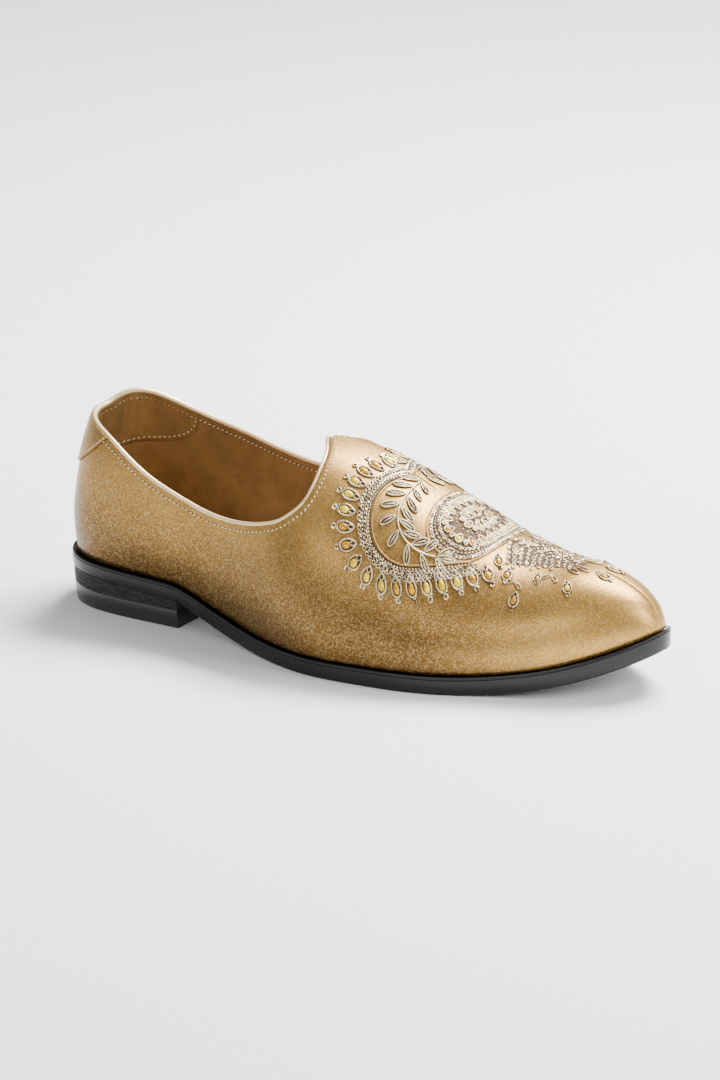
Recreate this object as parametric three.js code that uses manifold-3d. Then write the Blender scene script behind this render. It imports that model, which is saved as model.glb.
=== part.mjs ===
// A right mojari slip-on shoe: hollow upper, heel tab, insole, outsole, stacked heel and top lift.
// Millimetres. +X runs from heel to toe, +Y to the inner (medial) side of the foot, +Z up.
// The origin is on the floor, in the middle of the shoe's box.
import * as THREE from 'three';
import { mergeVertices } from 'three/addons/utils/BufferGeometryUtils.js';
import Module from 'manifold-3d';

// Driving dimensions
const LENGTH = 300;
const HEEL_RADIUS = 33.5;
const TOE_RADIUS = 14.3;
const TOE_SHIFT = 6.5;
const LEDGE = 2.7;
const WALL = 1.8;
const GAP = 0.3;

// Outsole outline: s is the share of the length from the back of the heel to the toe,
// lateral and medial are the half widths from the line through the middle of the heel.
const OUTLINE_ROWS = [
  { s: 0.10, lateral: 30.9, medial: 30.7 },
  { s: 0.20, lateral: 32.8, medial: 32.4 },
  { s: 0.30, lateral: 34.9, medial: 31.8 },
  { s: 0.40, lateral: 44.2, medial: 32.8 },
  { s: 0.50, lateral: 53.6, medial: 37.8 },
  { s: 0.60, lateral: 53.7, medial: 45.0 },
  { s: 0.70, lateral: 49.1, medial: 49.6 },
  { s: 0.80, lateral: 37.4, medial: 46.4 },
  { s: 0.90, lateral: 25.0, medial: 33.6 },
];

// Outsole in side view
const BREAST_X = 72.2;
const SEAT_BACK = 17.6;
const SEAT_BREAST = 13.5;
const WAIST_POWER = 2.3;
const FLAT_START = 137;
const FLAT_END = 215;
const TOE_SPRING = 19.6;
const SPRING_POWER = 2.1;
const BREAST_ROUNDING = 7;
const SOLE_ROWS = [
  { s: 0.00, thickness: 6.0 },
  { s: 0.23, thickness: 7.1 },
  { s: 0.60, thickness: 7.8 },
  { s: 1.00, thickness: 8.8 },
];
const SOLE_EDGE = 0.6;

// Heel
const LIFT_THICKNESS = 8.8;
const HEEL_INSET = 0.5;
const JOINT_INSET = 1;
const LIFT_INSET = 1.7;

// Upper, one row per section: crest height over the floor, how far the crest lies to the
// medial side, roundness of the lateral and medial half in plan and of both in height
// (2 is an ellipse, more is squarer), and how far the wall swells past the sole's ledge.
const UPPER_ROWS = [
  { s: 0.00, crest: 97.7, side: 0.0, lateralRound: 4.5, medialRound: 4.8, heightRound: 2.7, swell: 2.0 },
  { s: 0.20, crest: 96.4, side: 0.0, lateralRound: 4.2, medialRound: 4.5, heightRound: 2.7, swell: 4.4 },
  { s: 0.35, crest: 91.4, side: 1.0, lateralRound: 3.3, medialRound: 4.1, heightRound: 2.4, swell: 4.2 },
  { s: 0.45, crest: 90.6, side: 2.8, lateralRound: 2.7, medialRound: 3.2, heightRound: 2.1, swell: 3.2 },
  { s: 0.55, crest: 82.8, side: 4.8, lateralRound: 2.3, medialRound: 2.7, heightRound: 1.95, swell: 2.0 },
  { s: 0.65, crest: 69.2, side: 6.3, lateralRound: 2.15, medialRound: 2.5, heightRound: 2.0, swell: 2.1 },
  { s: 0.75, crest: 54.8, side: 7.4, lateralRound: 2.25, medialRound: 2.5, heightRound: 2.2, swell: 2.1 },
  { s: 0.85, crest: 50.6, side: 7.9, lateralRound: 2.35, medialRound: 2.5, heightRound: 2.35, swell: 1.6 },
  { s: 1.00, crest: 62.0, side: 6.5, lateralRound: 2.3, medialRound: 2.3, heightRound: 2.3, swell: 0.4 },
];
const TOE_CLOSING_START = 0.863;
const TOE_CLOSING_POWER = 1.65;
const HEEL_LEAN = 14;
const HEEL_LEAN_REACH = 0.25;
const TUCK_HEIGHT = 0.35;

// Edge of the opening: q runs from the back (0) to the throat's peak (1), back is how far the
// edge lies behind the point of the ledge with the same q, lateral and medial say how far
// down the section the edge lies (0 at the crest, 1 at the ledge).
const EDGE_ROWS = [
  { q: 0.00, back: 0, lateral: 0.390, medial: 0.390 },
  { q: 0.10, back: 0, lateral: 0.410, medial: 0.285 },
  { q: 0.20, back: 0, lateral: 0.492, medial: 0.408 },
  { q: 0.30, back: 0, lateral: 0.655, medial: 0.526 },
  { q: 0.38, back: 0, lateral: 0.672, medial: 0.543 },
  { q: 0.45, back: 3.4, lateral: 0.592, medial: 0.531 },
  { q: 0.52, back: 24.7, lateral: 0.518, medial: 0.475 },
  { q: 0.60, back: 56, lateral: 0.448, medial: 0.375 },
  { q: 0.70, back: 95.5, lateral: 0.362, medial: 0.262 },
  { q: 0.85, back: 142, lateral: 0.210, medial: 0.118 },
  { q: 1.00, back: 168.9, lateral: 0.000, medial: 0.000 },
];
const RISE_SHARE = 0.6;

// Stations of the meshes
const AROUND = 54;
const DOWN = 16;
const HEEL_STATIONS = 20;
const FOREPART_STATIONS = 52;
const MERGE_DISTANCE = 1e-4;
const SMALLEST_EDGE = 1e-6;
const PLAN_STEP = 0.002;

// Insole
const INSOLE_THICKNESS = 3;
const TOP_GAP = 0.45;
const INSOLE_INSET = LEDGE + WALL + 0.9;

// Heel tab: seam is its lower edge in side view, from the collar down to the back of the heel.
const TAB_THICKNESS = 1.0;
const TAB_RISE = -0.015;
const TAB_FORM_END = 0.27;
const TAB_FORM_DROP = 0.62;
const TAB_FORM_DEPTH = 8;
const TAB_FORM_SPARE = 0.04;
const TAB_AROUND = 14;
const TAB_DOWN = 9;
const TAB_SEAM = [
  { x: 46, z: 93.5 },
  { x: 34, z: 83.5 },
  { x: 22, z: 73.5 },
  { x: 12, z: 66.5 },
  { x: 4, z: 62.0 },
  { x: -6, z: 60.0 },
];
const TAB_CLEARANCE = 40;

// Natural cubic spline through the rows' column, as a function of the rows' key.
function spline(rows, key, column) {
  const xs = rows.map((row) => row[key]);
  const ys = rows.map((row) => row[column]);
  const last = xs.length - 1;
  const bend = new Array(xs.length).fill(0);
  const carry = new Array(xs.length).fill(0);
  for (let i = 1; i < last; i++) {
    const share = (xs[i] - xs[i - 1]) / (xs[i + 1] - xs[i - 1]);
    const pivot = share * bend[i - 1] + 2;
    const after = (ys[i + 1] - ys[i]) / (xs[i + 1] - xs[i]);
    const before = (ys[i] - ys[i - 1]) / (xs[i] - xs[i - 1]);
    bend[i] = (share - 1) / pivot;
    carry[i] = (6 * (after - before) / (xs[i + 1] - xs[i - 1]) - share * carry[i - 1]) / pivot;
  }
  const curve = new Array(xs.length).fill(0);
  for (let i = last - 1; i > 0; i--) {
    curve[i] = bend[i] * curve[i + 1] + carry[i];
  }
  return (x) => {
    let i = 0;
    while (i < last - 1 && x > xs[i + 1]) {
      i += 1;
    }
    const step = xs[i + 1] - xs[i];
    const a = (xs[i + 1] - x) / step;
    const b = 1 - a;
    const sag = ((a ** 3 - a) * curve[i] + (b ** 3 - b) * curve[i + 1]) * step ** 2 / 6;
    return a * ys[i] + b * ys[i + 1] + sag;
  };
}

// The same, with the rows mirrored below the first one, so that the curve starts level.
function levelSpline(rows, key, column) {
  const mirrored = rows.slice(1).reverse().map((row) => ({ ...row, [key]: -row[key] }));
  return spline([...mirrored, ...rows], key, column);
}

function smoothStep(x) {
  const t = Math.min(1, Math.max(0, x));
  return t * t * (3 - 2 * t);
}

const angleOf = (s) => Math.acos(1 - 2 * Math.min(1, Math.max(0, s)));
const shareAt = (angle) => (1 - Math.cos(angle)) / 2;

// Half widths divided by the sine of the station's angle, which rounds both ends.
function widthSpline(column, sign) {
  const rows = OUTLINE_ROWS.map(({ s, ...row }) => ({
    s,
    w: (row[column] - sign * TOE_SHIFT * s ** 2) / Math.sin(angleOf(s)),
  }));
  const endRow = (s, radius) => ({ s, w: Math.sqrt(radius * LENGTH / 2) });
  return spline([endRow(0, HEEL_RADIUS), ...rows, endRow(1, TOE_RADIUS)], 's', 'w');
}

const widths = { '-1': widthSpline('lateral', -1), 1: widthSpline('medial', 1) };

// Point of the outsole's outline, side -1 lateral and 1 medial.
function outline(side, angle) {
  const s = shareAt(angle);
  const y = TOE_SHIFT * s ** 2 + side * widths[side](s) * Math.sin(angle);
  return new THREE.Vector2(LENGTH * s, y);
}

// Outward direction of the outline in plan.
function outward(side, angle) {
  if (angle < PLAN_STEP) {
    return new THREE.Vector2(-1, 0);
  }
  if (angle > Math.PI - PLAN_STEP) {
    return new THREE.Vector2(1, 0);
  }
  const along = outline(side, angle + PLAN_STEP).sub(outline(side, angle - PLAN_STEP)).normalize();
  return new THREE.Vector2(-side * along.y, side * along.x);
}

function insetPoint(side, angle, inset) {
  return outline(side, angle).addScaledVector(outward(side, angle), -inset);
}

// Height of the outsole's underside over the floor.
function underside(x) {
  if (x <= BREAST_X) {
    return THREE.MathUtils.lerp(SEAT_BACK, SEAT_BREAST, x / BREAST_X);
  }
  if (x < FLAT_START) {
    return SEAT_BREAST * ((FLAT_START - x) / (FLAT_START - BREAST_X)) ** WAIST_POWER;
  }
  return x > FLAT_END ? TOE_SPRING * ((x - FLAT_END) / (LENGTH - FLAT_END)) ** SPRING_POWER : 0;
}

const soleThickness = spline(SOLE_ROWS, 's', 'thickness');

function soleTop(x) {
  const eased = underside(x - BREAST_ROUNDING) + 2 * underside(x) + underside(x + BREAST_ROUNDING);
  return eased / 4 + soleThickness(x / LENGTH);
}

const section = Object.fromEntries(
  ['crest', 'side', 'lateralRound', 'medialRound', 'heightRound', 'swell'].map((column) => [
    column,
    spline(UPPER_ROWS, 's', column),
  ]),
);

// Height of the crest over the ledge, rounded down to nothing at the toe.
function crestOver(bottom, s) {
  const closing = Math.max(0, (s - TOE_CLOSING_START) / (1 - TOE_CLOSING_START));
  const closed = Math.max(0, 1 - closing ** TOE_CLOSING_POWER) ** (1 / TOE_CLOSING_POWER);
  return (section.crest(s) - bottom) * closed;
}

// The upper's outer surface: angle is the station along the shoe, u runs down the section
// from the crest (0) to the ledge (1).
function upperPoint(side, angle, u) {
  const s = shareAt(angle);
  const foot = insetPoint(side, angle, LEDGE);
  const partner = insetPoint(-side, angle, LEDGE);
  const crest = foot.clone().lerp(partner, 0.5);
  crest.y = THREE.MathUtils.lerp(crest.y, section.side(s), Math.sin(angle));
  const bottom = soleTop(foot.x) + TOP_GAP;
  const turn = u * Math.PI / 2;
  const round = side < 0 ? section.lateralRound(s) : section.medialRound(s);
  const reach = Math.sin(turn) ** (2 / round);
  const rise = Math.max(0, Math.cos(turn)) ** (2 / section.heightRound(s));
  const tuck = 1 - Math.min(1, rise / TUCK_HEIGHT);
  const swell = section.swell(s) * (1 - tuck ** 2) * reach;
  const plan = crest.clone().lerp(foot, reach);
  plan.addScaledVector(outward(side, angle), swell);
  const leaning = 1 - smoothStep(s / HEEL_LEAN_REACH);
  plan.x += HEEL_LEAN * leaning * rise ** 2;
  return new THREE.Vector3(plan.x, plan.y, bottom + crestOver(bottom, s) * rise);
}

// Rough length of the section from crest to ledge, which places the edge and spaces the lines.
function girth(side, angle) {
  const s = shareAt(angle);
  return widths[side](s) * Math.sin(angle) + RISE_SHARE * crestOver(soleTop(LENGTH * s), s);
}

const edge = Object.fromEntries(
  ['back', 'lateral', 'medial'].map((column) => [column, levelSpline(EDGE_ROWS, 'q', column)]),
);

// A point of the upper by its line q (back to toe tip) and its place v down the line
// (0 at the edge of the opening, 1 at the ledge).
function upperStation(side, q, v) {
  const ledgeAngle = Math.PI * q;
  const edgeX = LENGTH * shareAt(ledgeAngle) - edge.back(q);
  const edgeAngle = angleOf(edgeX / LENGTH);
  const edgeDepth = side < 0 ? edge.lateral(q) : edge.medial(q);
  const angle = THREE.MathUtils.lerp(edgeAngle, ledgeAngle, v);
  const out = THREE.MathUtils.lerp(edgeDepth * girth(side, edgeAngle), girth(side, ledgeAngle), v);
  return { angle, u: Math.min(1, out / Math.max(girth(side, angle), SMALLEST_EDGE)) };
}

// Vertex grids and closed solids. A grid is a list of rows of points.
function skin(grid) {
  const triangles = [];
  const add = (a, b, c) => {
    const shortest = Math.min(a.distanceTo(b), b.distanceTo(c), c.distanceTo(a));
    if (shortest > SMALLEST_EDGE) {
      triangles.push(a, b, c);
    }
  };
  for (let i = 0; i + 1 < grid.length; i++) {
    for (let j = 0; j + 1 < grid[i].length; j++) {
      add(grid[i][j], grid[i + 1][j], grid[i + 1][j + 1]);
      add(grid[i][j], grid[i + 1][j + 1], grid[i][j + 1]);
    }
  }
  return triangles;
}

function closedGeometry(triangles) {
  const volume = triangles.reduce((sum, point, i) => (
    i % 3 ? sum : sum + point.dot(triangles[i + 1].clone().cross(triangles[i + 2]))
  ), 0);
  const points = volume < 0 ? [...triangles].reverse() : triangles;
  return mergeVertices(new THREE.BufferGeometry().setFromPoints(points), MERGE_DISTANCE);
}

// Closed body between matching closed rings of points, capped by strips across the shoe.
function ladderBody(levels) {
  const last = levels.length - 1;
  const ring = ({ lateral, medial }) => [...lateral, ...[...medial].reverse(), lateral[0]];
  const cap = ({ lateral, medial }) => [lateral, medial];
  const bottom = skin(cap(levels[0]));
  const top = skin(cap(levels[last])).reverse();
  return closedGeometry([...bottom, ...skin(levels.map(ring)).reverse(), ...top]);
}

// One level of a body that follows the outline: angles are its stations.
function level(angles, inset, heightAt) {
  const line = (side) => angles.map((angle) => {
    const point = insetPoint(side, angle, inset);
    return new THREE.Vector3(point.x, point.y, heightAt(point.x));
  });
  return { lateral: line(-1), medial: line(1) };
}

function stations(count, end, start = 0) {
  return Array.from({ length: count + 1 }, (_, i) => start + (end - start) * i / count);
}

// Outer skin of the upper: one row per loop around the shoe, from the opening's edge down.
function upperLoops() {
  const line = (side, i, v) => {
    const { angle, u } = upperStation(side, i / AROUND, v);
    return upperPoint(side, angle, u);
  };
  return stations(DOWN, 1).map((v) => [
    ...stations(AROUND, AROUND).map((i) => line(-1, i, v)),
    ...stations(AROUND, AROUND).slice(1, -1).reverse().map((i) => line(1, i, v)),
  ]);
}

// Moves every point of a closed grid inwards along the normal of its neighbours.
function shrink(loops, depth) {
  const last = loops.length - 1;
  return loops.map((loop, i) => loop.map((point, j) => {
    const around = loop[(j + 1) % loop.length].clone().sub(loop.at(j - 1));
    const down = loops[Math.min(i + 1, last)][j].clone().sub(loops[Math.max(i - 1, 0)][j]);
    return point.clone().addScaledVector(around.cross(down).normalize(), depth);
  }));
}

function upper() {
  const outer = upperLoops();
  const inner = shrink(outer, WALL);
  const close = (loops) => loops.map((loop) => [...loop, loop[0]]);
  const rim = (i) => close([outer[i], inner[i]]);
  return closedGeometry([
    ...skin(close(outer)).reverse(),
    ...skin(close(inner)),
    ...skin(rim(0)),
    ...skin(rim(DOWN)).reverse(),
  ]);
}

// Stations of the outsole and insole, with one on the heel's breast.
function soleStations() {
  const breast = angleOf(BREAST_X / LENGTH);
  return [...stations(HEEL_STATIONS, breast), ...stations(FOREPART_STATIONS, Math.PI, breast).slice(1)];
}

function outsole() {
  const angles = soleStations();
  const above = (rise) => (x) => underside(x) + rise;
  return ladderBody([
    level(angles, SOLE_EDGE, underside),
    level(angles, 0, above(SOLE_EDGE)),
    level(angles, 0, (x) => soleTop(x) - SOLE_EDGE),
    level(angles, SOLE_EDGE, soleTop),
  ]);
}

function heelLayer(low, high, lowInset, highInset) {
  const angles = stations(HEEL_STATIONS, angleOf((BREAST_X - HEEL_INSET) / LENGTH));
  return ladderBody([level(angles, lowInset, low), level(angles, highInset, high)]);
}

function insole() {
  const angles = soleStations();
  const base = (x) => soleTop(x) + TOP_GAP;
  return ladderBody([
    level(angles, INSOLE_INSET, base),
    level(angles, INSOLE_INSET, (x) => base(x) + INSOLE_THICKNESS),
  ]);
}

// Closed body between two matching grids.
function slab(inside, outside) {
  const column = (grid, j) => grid.map((row) => row[j]);
  const side = (j) => skin([column(outside, j), column(inside, j)]);
  return closedGeometry([
    ...skin(outside).reverse(),
    ...skin(inside),
    ...skin([outside[0], inside[0]]),
    ...skin([outside.at(-1), inside.at(-1)]).reverse(),
    ...side(0).reverse(),
    ...side(inside[0].length - 1),
  ]);
}

// Solid form of the upper's back, larger than the tab, with its outer face lifted off.
// With spare it reaches further past the collar, forward and inwards.
function backForm(lift, spare) {
  const drop = TAB_FORM_DROP + spare;
  const end = TAB_FORM_END + spare;
  const column = (side, i) => (
    stations(TAB_DOWN, drop, TAB_RISE - spare).map((v) => {
      const { angle, u } = upperStation(side, end * i / TAB_AROUND, v);
      return upperPoint(side, angle, u);
    })
  );
  const lines = stations(TAB_AROUND, TAB_AROUND);
  const medial = lines.slice(1).reverse().map((i) => column(1, i));
  const grid = [...medial, ...lines.map((i) => column(-1, i))];
  const moved = (depth) => grid.map((line, i) => line.map((point, j) => {
    const around = (grid[i + 1] ?? line)[j].clone().sub((grid[i - 1] ?? line)[j]);
    const down = (line[j + 1] ?? point).clone().sub(line[j - 1] ?? point);
    return point.clone().addScaledVector(around.cross(down).normalize(), depth);
  }));
  return slab(moved(TAB_FORM_DEPTH * (1 + spare)), moved(-lift));
}

const wasm = await Module();
wasm.setup();

function manifold(geometry) {
  geometry.deleteAttribute('normal');
  geometry.deleteAttribute('uv');
  const merged = mergeVertices(geometry, MERGE_DISTANCE);
  const vertProperties = new Float32Array(merged.attributes.position.array);
  const triVerts = new Uint32Array(merged.index.array);
  return new wasm.Manifold(new wasm.Mesh({ numProp: 3, vertProperties, triVerts }));
}

function geometryOf(solid) {
  const { vertProperties, triVerts } = solid.getMesh();
  const geometry = new THREE.BufferGeometry();
  geometry.setAttribute('position', new THREE.BufferAttribute(vertProperties, 3));
  geometry.setIndex(new THREE.BufferAttribute(triVerts, 1));
  return geometry;
}

function heelTab() {
  const back = TAB_SEAM.at(-1);
  const front = TAB_SEAM[0];
  const sideView = new THREE.Shape([
    ...TAB_SEAM.map(({ x, z }) => new THREE.Vector2(x, z)),
    new THREE.Vector2(back.x - TAB_CLEARANCE, back.z),
    new THREE.Vector2(back.x - TAB_CLEARANCE, front.z + TAB_CLEARANCE),
    new THREE.Vector2(front.x, front.z + TAB_CLEARANCE),
  ]);
  const settings = { depth: 2 * TAB_CLEARANCE, bevelEnabled: false };
  const outlineBlock = new THREE.ExtrudeGeometry(sideView, settings);
  outlineBlock.translate(0, 0, -TAB_CLEARANCE).rotateX(Math.PI / 2);
  const outer = manifold(backForm(GAP + TAB_THICKNESS, 0));
  const shell = outer.subtract(manifold(backForm(GAP, TAB_FORM_SPARE)));
  return geometryOf(shell.intersect(manifold(outlineBlock)));
}

function piece(name, geometry, color, roughness, metalness) {
  const mesh = new THREE.Mesh(geometry, new THREE.MeshStandardMaterial({ color, roughness, metalness }));
  mesh.name = name;
  return mesh;
}

const floor = () => 0;
const liftTop = () => LIFT_THICKNESS;
const stackBottom = () => LIFT_THICKNESS + GAP;
const stackTop = (x) => underside(x) - GAP;

const shoe = new THREE.Group();
shoe.add(
  piece('outsole', outsole(), '#26282b', 0.35, 0),
  piece('heel_stack', heelLayer(stackBottom, stackTop, JOINT_INSET, HEEL_INSET), '#2c2d30', 0.7, 0),
  piece('heel_top_lift', heelLayer(floor, liftTop, LIFT_INSET, JOINT_INSET), '#222325', 0.45, 0),
  piece('upper', upper(), '#b08d57', 0.45, 0.6),
  piece('heel_tab', heelTab(), '#b08d57', 0.45, 0.6),
  piece('insole', insole(), '#dcae82', 0.6, 0),
);
const box = new THREE.Box3().setFromObject(shoe);
const middle = box.getCenter(new THREE.Vector3());
shoe.position.set(-middle.x, -middle.y, -box.min.z);

export default shoe;
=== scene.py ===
"""Looks of a right mojari slip-on: gold leather upper with an embroidered vamp, tan lining with a
heel grip, insole, glossy black sole and a low stacked heel.

The shoe's own tables are in millimetres: x from the back of the heel to the toe, y to the inner
(medial) side of the foot, z up from the floor. Side is -1 on the lateral half, 1 on the medial."""

import math

import bmesh
import bpy
import numpy as np
from mathutils import Matrix, Vector


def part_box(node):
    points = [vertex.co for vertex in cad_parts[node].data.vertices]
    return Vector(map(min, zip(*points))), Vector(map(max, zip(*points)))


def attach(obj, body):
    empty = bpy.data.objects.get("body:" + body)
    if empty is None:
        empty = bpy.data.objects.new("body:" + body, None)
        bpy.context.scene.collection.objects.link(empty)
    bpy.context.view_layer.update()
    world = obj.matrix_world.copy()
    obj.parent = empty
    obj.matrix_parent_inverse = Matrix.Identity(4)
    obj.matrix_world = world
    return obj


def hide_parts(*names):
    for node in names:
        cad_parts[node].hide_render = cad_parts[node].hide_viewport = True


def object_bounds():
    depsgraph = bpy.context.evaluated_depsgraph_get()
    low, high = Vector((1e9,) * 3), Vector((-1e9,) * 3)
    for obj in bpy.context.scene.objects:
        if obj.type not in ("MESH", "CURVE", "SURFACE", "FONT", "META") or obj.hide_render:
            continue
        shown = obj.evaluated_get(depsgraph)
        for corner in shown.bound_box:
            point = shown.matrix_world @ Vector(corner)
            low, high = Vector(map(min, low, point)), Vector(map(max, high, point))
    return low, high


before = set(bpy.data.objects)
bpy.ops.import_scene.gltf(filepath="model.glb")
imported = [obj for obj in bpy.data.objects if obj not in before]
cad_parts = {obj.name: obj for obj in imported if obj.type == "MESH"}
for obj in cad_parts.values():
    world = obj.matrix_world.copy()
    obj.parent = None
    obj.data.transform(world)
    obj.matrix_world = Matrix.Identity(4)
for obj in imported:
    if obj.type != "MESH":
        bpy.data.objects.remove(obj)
cad_low, cad_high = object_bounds()

MM = 0.001

# ---------------------------------------------------------------- the shoe's sizes

LENGTH = 300
HEEL_RADIUS = 33.5
TOE_RADIUS = 14.3
TOE_SHIFT = 6.5
LEDGE = 2.7
GAP = 0.3

# Outsole outline: share of the length, lateral and medial half width
OUTLINE = np.array([
    (0.10, 30.9, 30.7),
    (0.20, 32.8, 32.4),
    (0.30, 34.9, 31.8),
    (0.40, 44.2, 32.8),
    (0.50, 53.6, 37.8),
    (0.60, 53.7, 45.0),
    (0.70, 49.1, 49.6),
    (0.80, 37.4, 46.4),
    (0.90, 25.0, 33.6),
])

# Outsole in side view
BREAST_X = 72.2
SEAT_BACK = 17.6
SEAT_BREAST = 13.5
WAIST_POWER = 2.3
FLAT_START = 137
FLAT_END = 215
TOE_SPRING = 19.6
SPRING_POWER = 2.1
BREAST_ROUNDING = 7
# Share of the length, thickness of the outsole's side
SOLE = np.array([(0.00, 6.0), (0.23, 7.1), (0.60, 7.8), (1.00, 8.8)])

# Upper, a row per section: share of the length, crest height, crest's place to the medial side,
# roundness of the lateral and medial half in plan and of both in height, swell past the ledge
UPPER = np.array([
    (0.00, 97.7, 0.0, 4.5, 4.8, 2.7, 2.0),
    (0.20, 96.4, 0.0, 4.2, 4.5, 2.7, 4.4),
    (0.35, 91.4, 1.0, 3.3, 4.1, 2.4, 4.2),
    (0.45, 90.6, 2.8, 2.7, 3.2, 2.1, 3.2),
    (0.55, 82.8, 4.8, 2.3, 2.7, 1.95, 2.0),
    (0.65, 69.2, 6.3, 2.15, 2.5, 2.0, 2.1),
    (0.75, 54.8, 7.4, 2.25, 2.5, 2.2, 2.1),
    (0.85, 50.6, 7.9, 2.35, 2.5, 2.35, 1.6),
    (1.00, 62.0, 6.5, 2.3, 2.3, 2.3, 0.4),
])
TOE_CLOSING_START = 0.863
TOE_CLOSING_POWER = 1.65
HEEL_LEAN = 14
HEEL_LEAN_REACH = 0.25
TUCK_HEIGHT = 0.35

# Edge of the opening from the back (0) to the throat's peak (1): how far the edge lies behind
# its point of the ledge, and how far down the lateral and the medial section it lies
EDGE = np.array([
    (0.00, 0, 0.390, 0.390),
    (0.10, 0, 0.410, 0.285),
    (0.20, 0, 0.492, 0.408),
    (0.30, 0, 0.655, 0.526),
    (0.38, 0, 0.672, 0.543),
    (0.45, 3.4, 0.592, 0.531),
    (0.52, 24.7, 0.518, 0.475),
    (0.60, 56, 0.448, 0.375),
    (0.70, 95.5, 0.362, 0.262),
    (0.85, 142, 0.210, 0.118),
    (1.00, 168.9, 0.000, 0.000),
])
RISE_SHARE = 0.6
PLAN_STEP = 0.002

# Soft troughs (-) and ridges (+) of the worn-in leather: side, x, height, half length along,
# half width across, tilt in degrees, depth
CREASES = (
    (-1, 92, 44, 34, 11, 4, -0.55),
    (-1, 128, 52, 16, 5, 62, -0.30),
    (-1, 141, 47, 20, 6, 58, 0.25),
    (-1, 158, 40, 22, 7, 52, -0.30),
    (-1, 34, 52, 18, 7, 80, -0.30),
    (-1, 206, 30, 24, 6, 24, -0.25),
    (1, 96, 46, 34, 11, 3, -0.50),
    (1, 133, 50, 18, 5, 60, -0.30),
    (1, 150, 44, 22, 6, 56, 0.25),
    (1, 170, 38, 24, 7, 50, -0.30),
    (1, 36, 54, 18, 7, 80, -0.30),
)


class Curve:
    """Natural cubic curve through the values at the keys."""

    def __init__(self, keys, values):
        self.keys = np.array(keys, float)
        self.values = np.array(values, float)
        step = np.diff(self.keys)
        slope = np.diff(self.values) / step
        system = np.eye(len(self.keys))
        bend = np.zeros(len(self.keys))
        for i in range(1, len(self.keys) - 1):
            system[i, i - 1:i + 2] = step[i - 1], 2 * (step[i - 1] + step[i]), step[i]
            bend[i] = 6 * (slope[i] - slope[i - 1])
        self.bend = np.linalg.solve(system, bend)

    def __call__(self, x):
        i = np.clip(np.searchsorted(self.keys, x) - 1, 0, len(self.keys) - 2)
        step = self.keys[i + 1] - self.keys[i]
        a = (self.keys[i + 1] - x) / step
        b = 1 - a
        sag = (a ** 3 - a) * self.bend[i] + (b ** 3 - b) * self.bend[i + 1]
        return a * self.values[i] + b * self.values[i + 1] + sag * step ** 2 / 6


def level_curve(keys, values):
    """The same, mirrored below the first key, so that it starts level."""
    return Curve([*-keys[:0:-1], *keys], [*values[:0:-1], *values])


def angle_of(share):
    return np.arccos(1 - 2 * np.clip(share, 0, 1))


def share_at(angle):
    return (1 - np.cos(angle)) / 2


def blend(start, end, share):
    return start + (end - start) * share


def smooth_step(x):
    t = np.clip(x, 0, 1)
    return t * t * (3 - 2 * t)


def width_curve(column, side):
    share = OUTLINE[:, 0]
    width = (OUTLINE[:, column] - side * TOE_SHIFT * share ** 2) / np.sin(angle_of(share))
    ends = [math.sqrt(radius * LENGTH / 2) for radius in (HEEL_RADIUS, TOE_RADIUS)]
    return Curve([0, *share, 1], [ends[0], *width, ends[1]])


lateral_width = width_curve(1, -1)
medial_width = width_curve(2, 1)
sole_thickness = Curve(SOLE[:, 0], SOLE[:, 1])
crest_height, crest_side, lateral_round, medial_round, height_round, swell_of = (
    Curve(UPPER[:, 0], UPPER[:, column]) for column in range(1, 7)
)
edge_back, edge_lateral, edge_medial = (
    level_curve(EDGE[:, 0], EDGE[:, column]) for column in range(1, 4)
)


def half_width(side, share):
    return np.where(side < 0, lateral_width(share), medial_width(share))


def outline(side, angle):
    share = share_at(angle)
    y = TOE_SHIFT * share ** 2 + side * half_width(side, share) * np.sin(angle)
    return np.stack([LENGTH * share, y], -1)


def outward(side, angle):
    """Outward direction of the outline in plan."""
    along = outline(side, angle + PLAN_STEP) - outline(side, angle - PLAN_STEP)
    along /= np.linalg.norm(along, axis=-1, keepdims=True)
    out = np.stack([-side * along[..., 1], side * along[..., 0]], -1)
    at_back = (angle < PLAN_STEP)[..., None]
    at_toe = (angle > math.pi - PLAN_STEP)[..., None]
    return np.where(at_back, (-1.0, 0.0), np.where(at_toe, (1.0, 0.0), out))


def inset_point(side, angle, inset):
    return outline(side, angle) - np.asarray(inset)[..., None] * outward(side, angle)


def underside(x):
    seat = SEAT_BACK + (SEAT_BREAST - SEAT_BACK) * x / BREAST_X
    waist = np.clip((FLAT_START - x) / (FLAT_START - BREAST_X), 0, None) ** WAIST_POWER
    spring = np.clip((x - FLAT_END) / (LENGTH - FLAT_END), 0, None) ** SPRING_POWER
    return np.where(x <= BREAST_X, seat, SEAT_BREAST * waist + TOE_SPRING * spring)


def sole_top(x):
    eased = underside(x - BREAST_ROUNDING) + 2 * underside(x) + underside(x + BREAST_ROUNDING)
    return eased / 4 + sole_thickness(x / LENGTH)


def crest_over(bottom, share):
    closing = np.clip((share - TOE_CLOSING_START) / (1 - TOE_CLOSING_START), 0, 1)
    closed = (1 - closing ** TOE_CLOSING_POWER) ** (1 / TOE_CLOSING_POWER)
    return (crest_height(share) - bottom) * closed


def crease_lift(side, x, z):
    lift = np.zeros(np.shape(x))
    for at_side, at_x, height, along, across, tilt, depth in CREASES:
        turn = math.radians(tilt)
        far = (x - at_x) * math.cos(turn) + (z - height) * math.sin(turn)
        off = (z - height) * math.cos(turn) - (x - at_x) * math.sin(turn)
        here = np.exp(-(far / along) ** 2 - (off / across) ** 2)
        lift = lift + np.where(side == at_side, depth * here, 0)
    return lift


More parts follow.
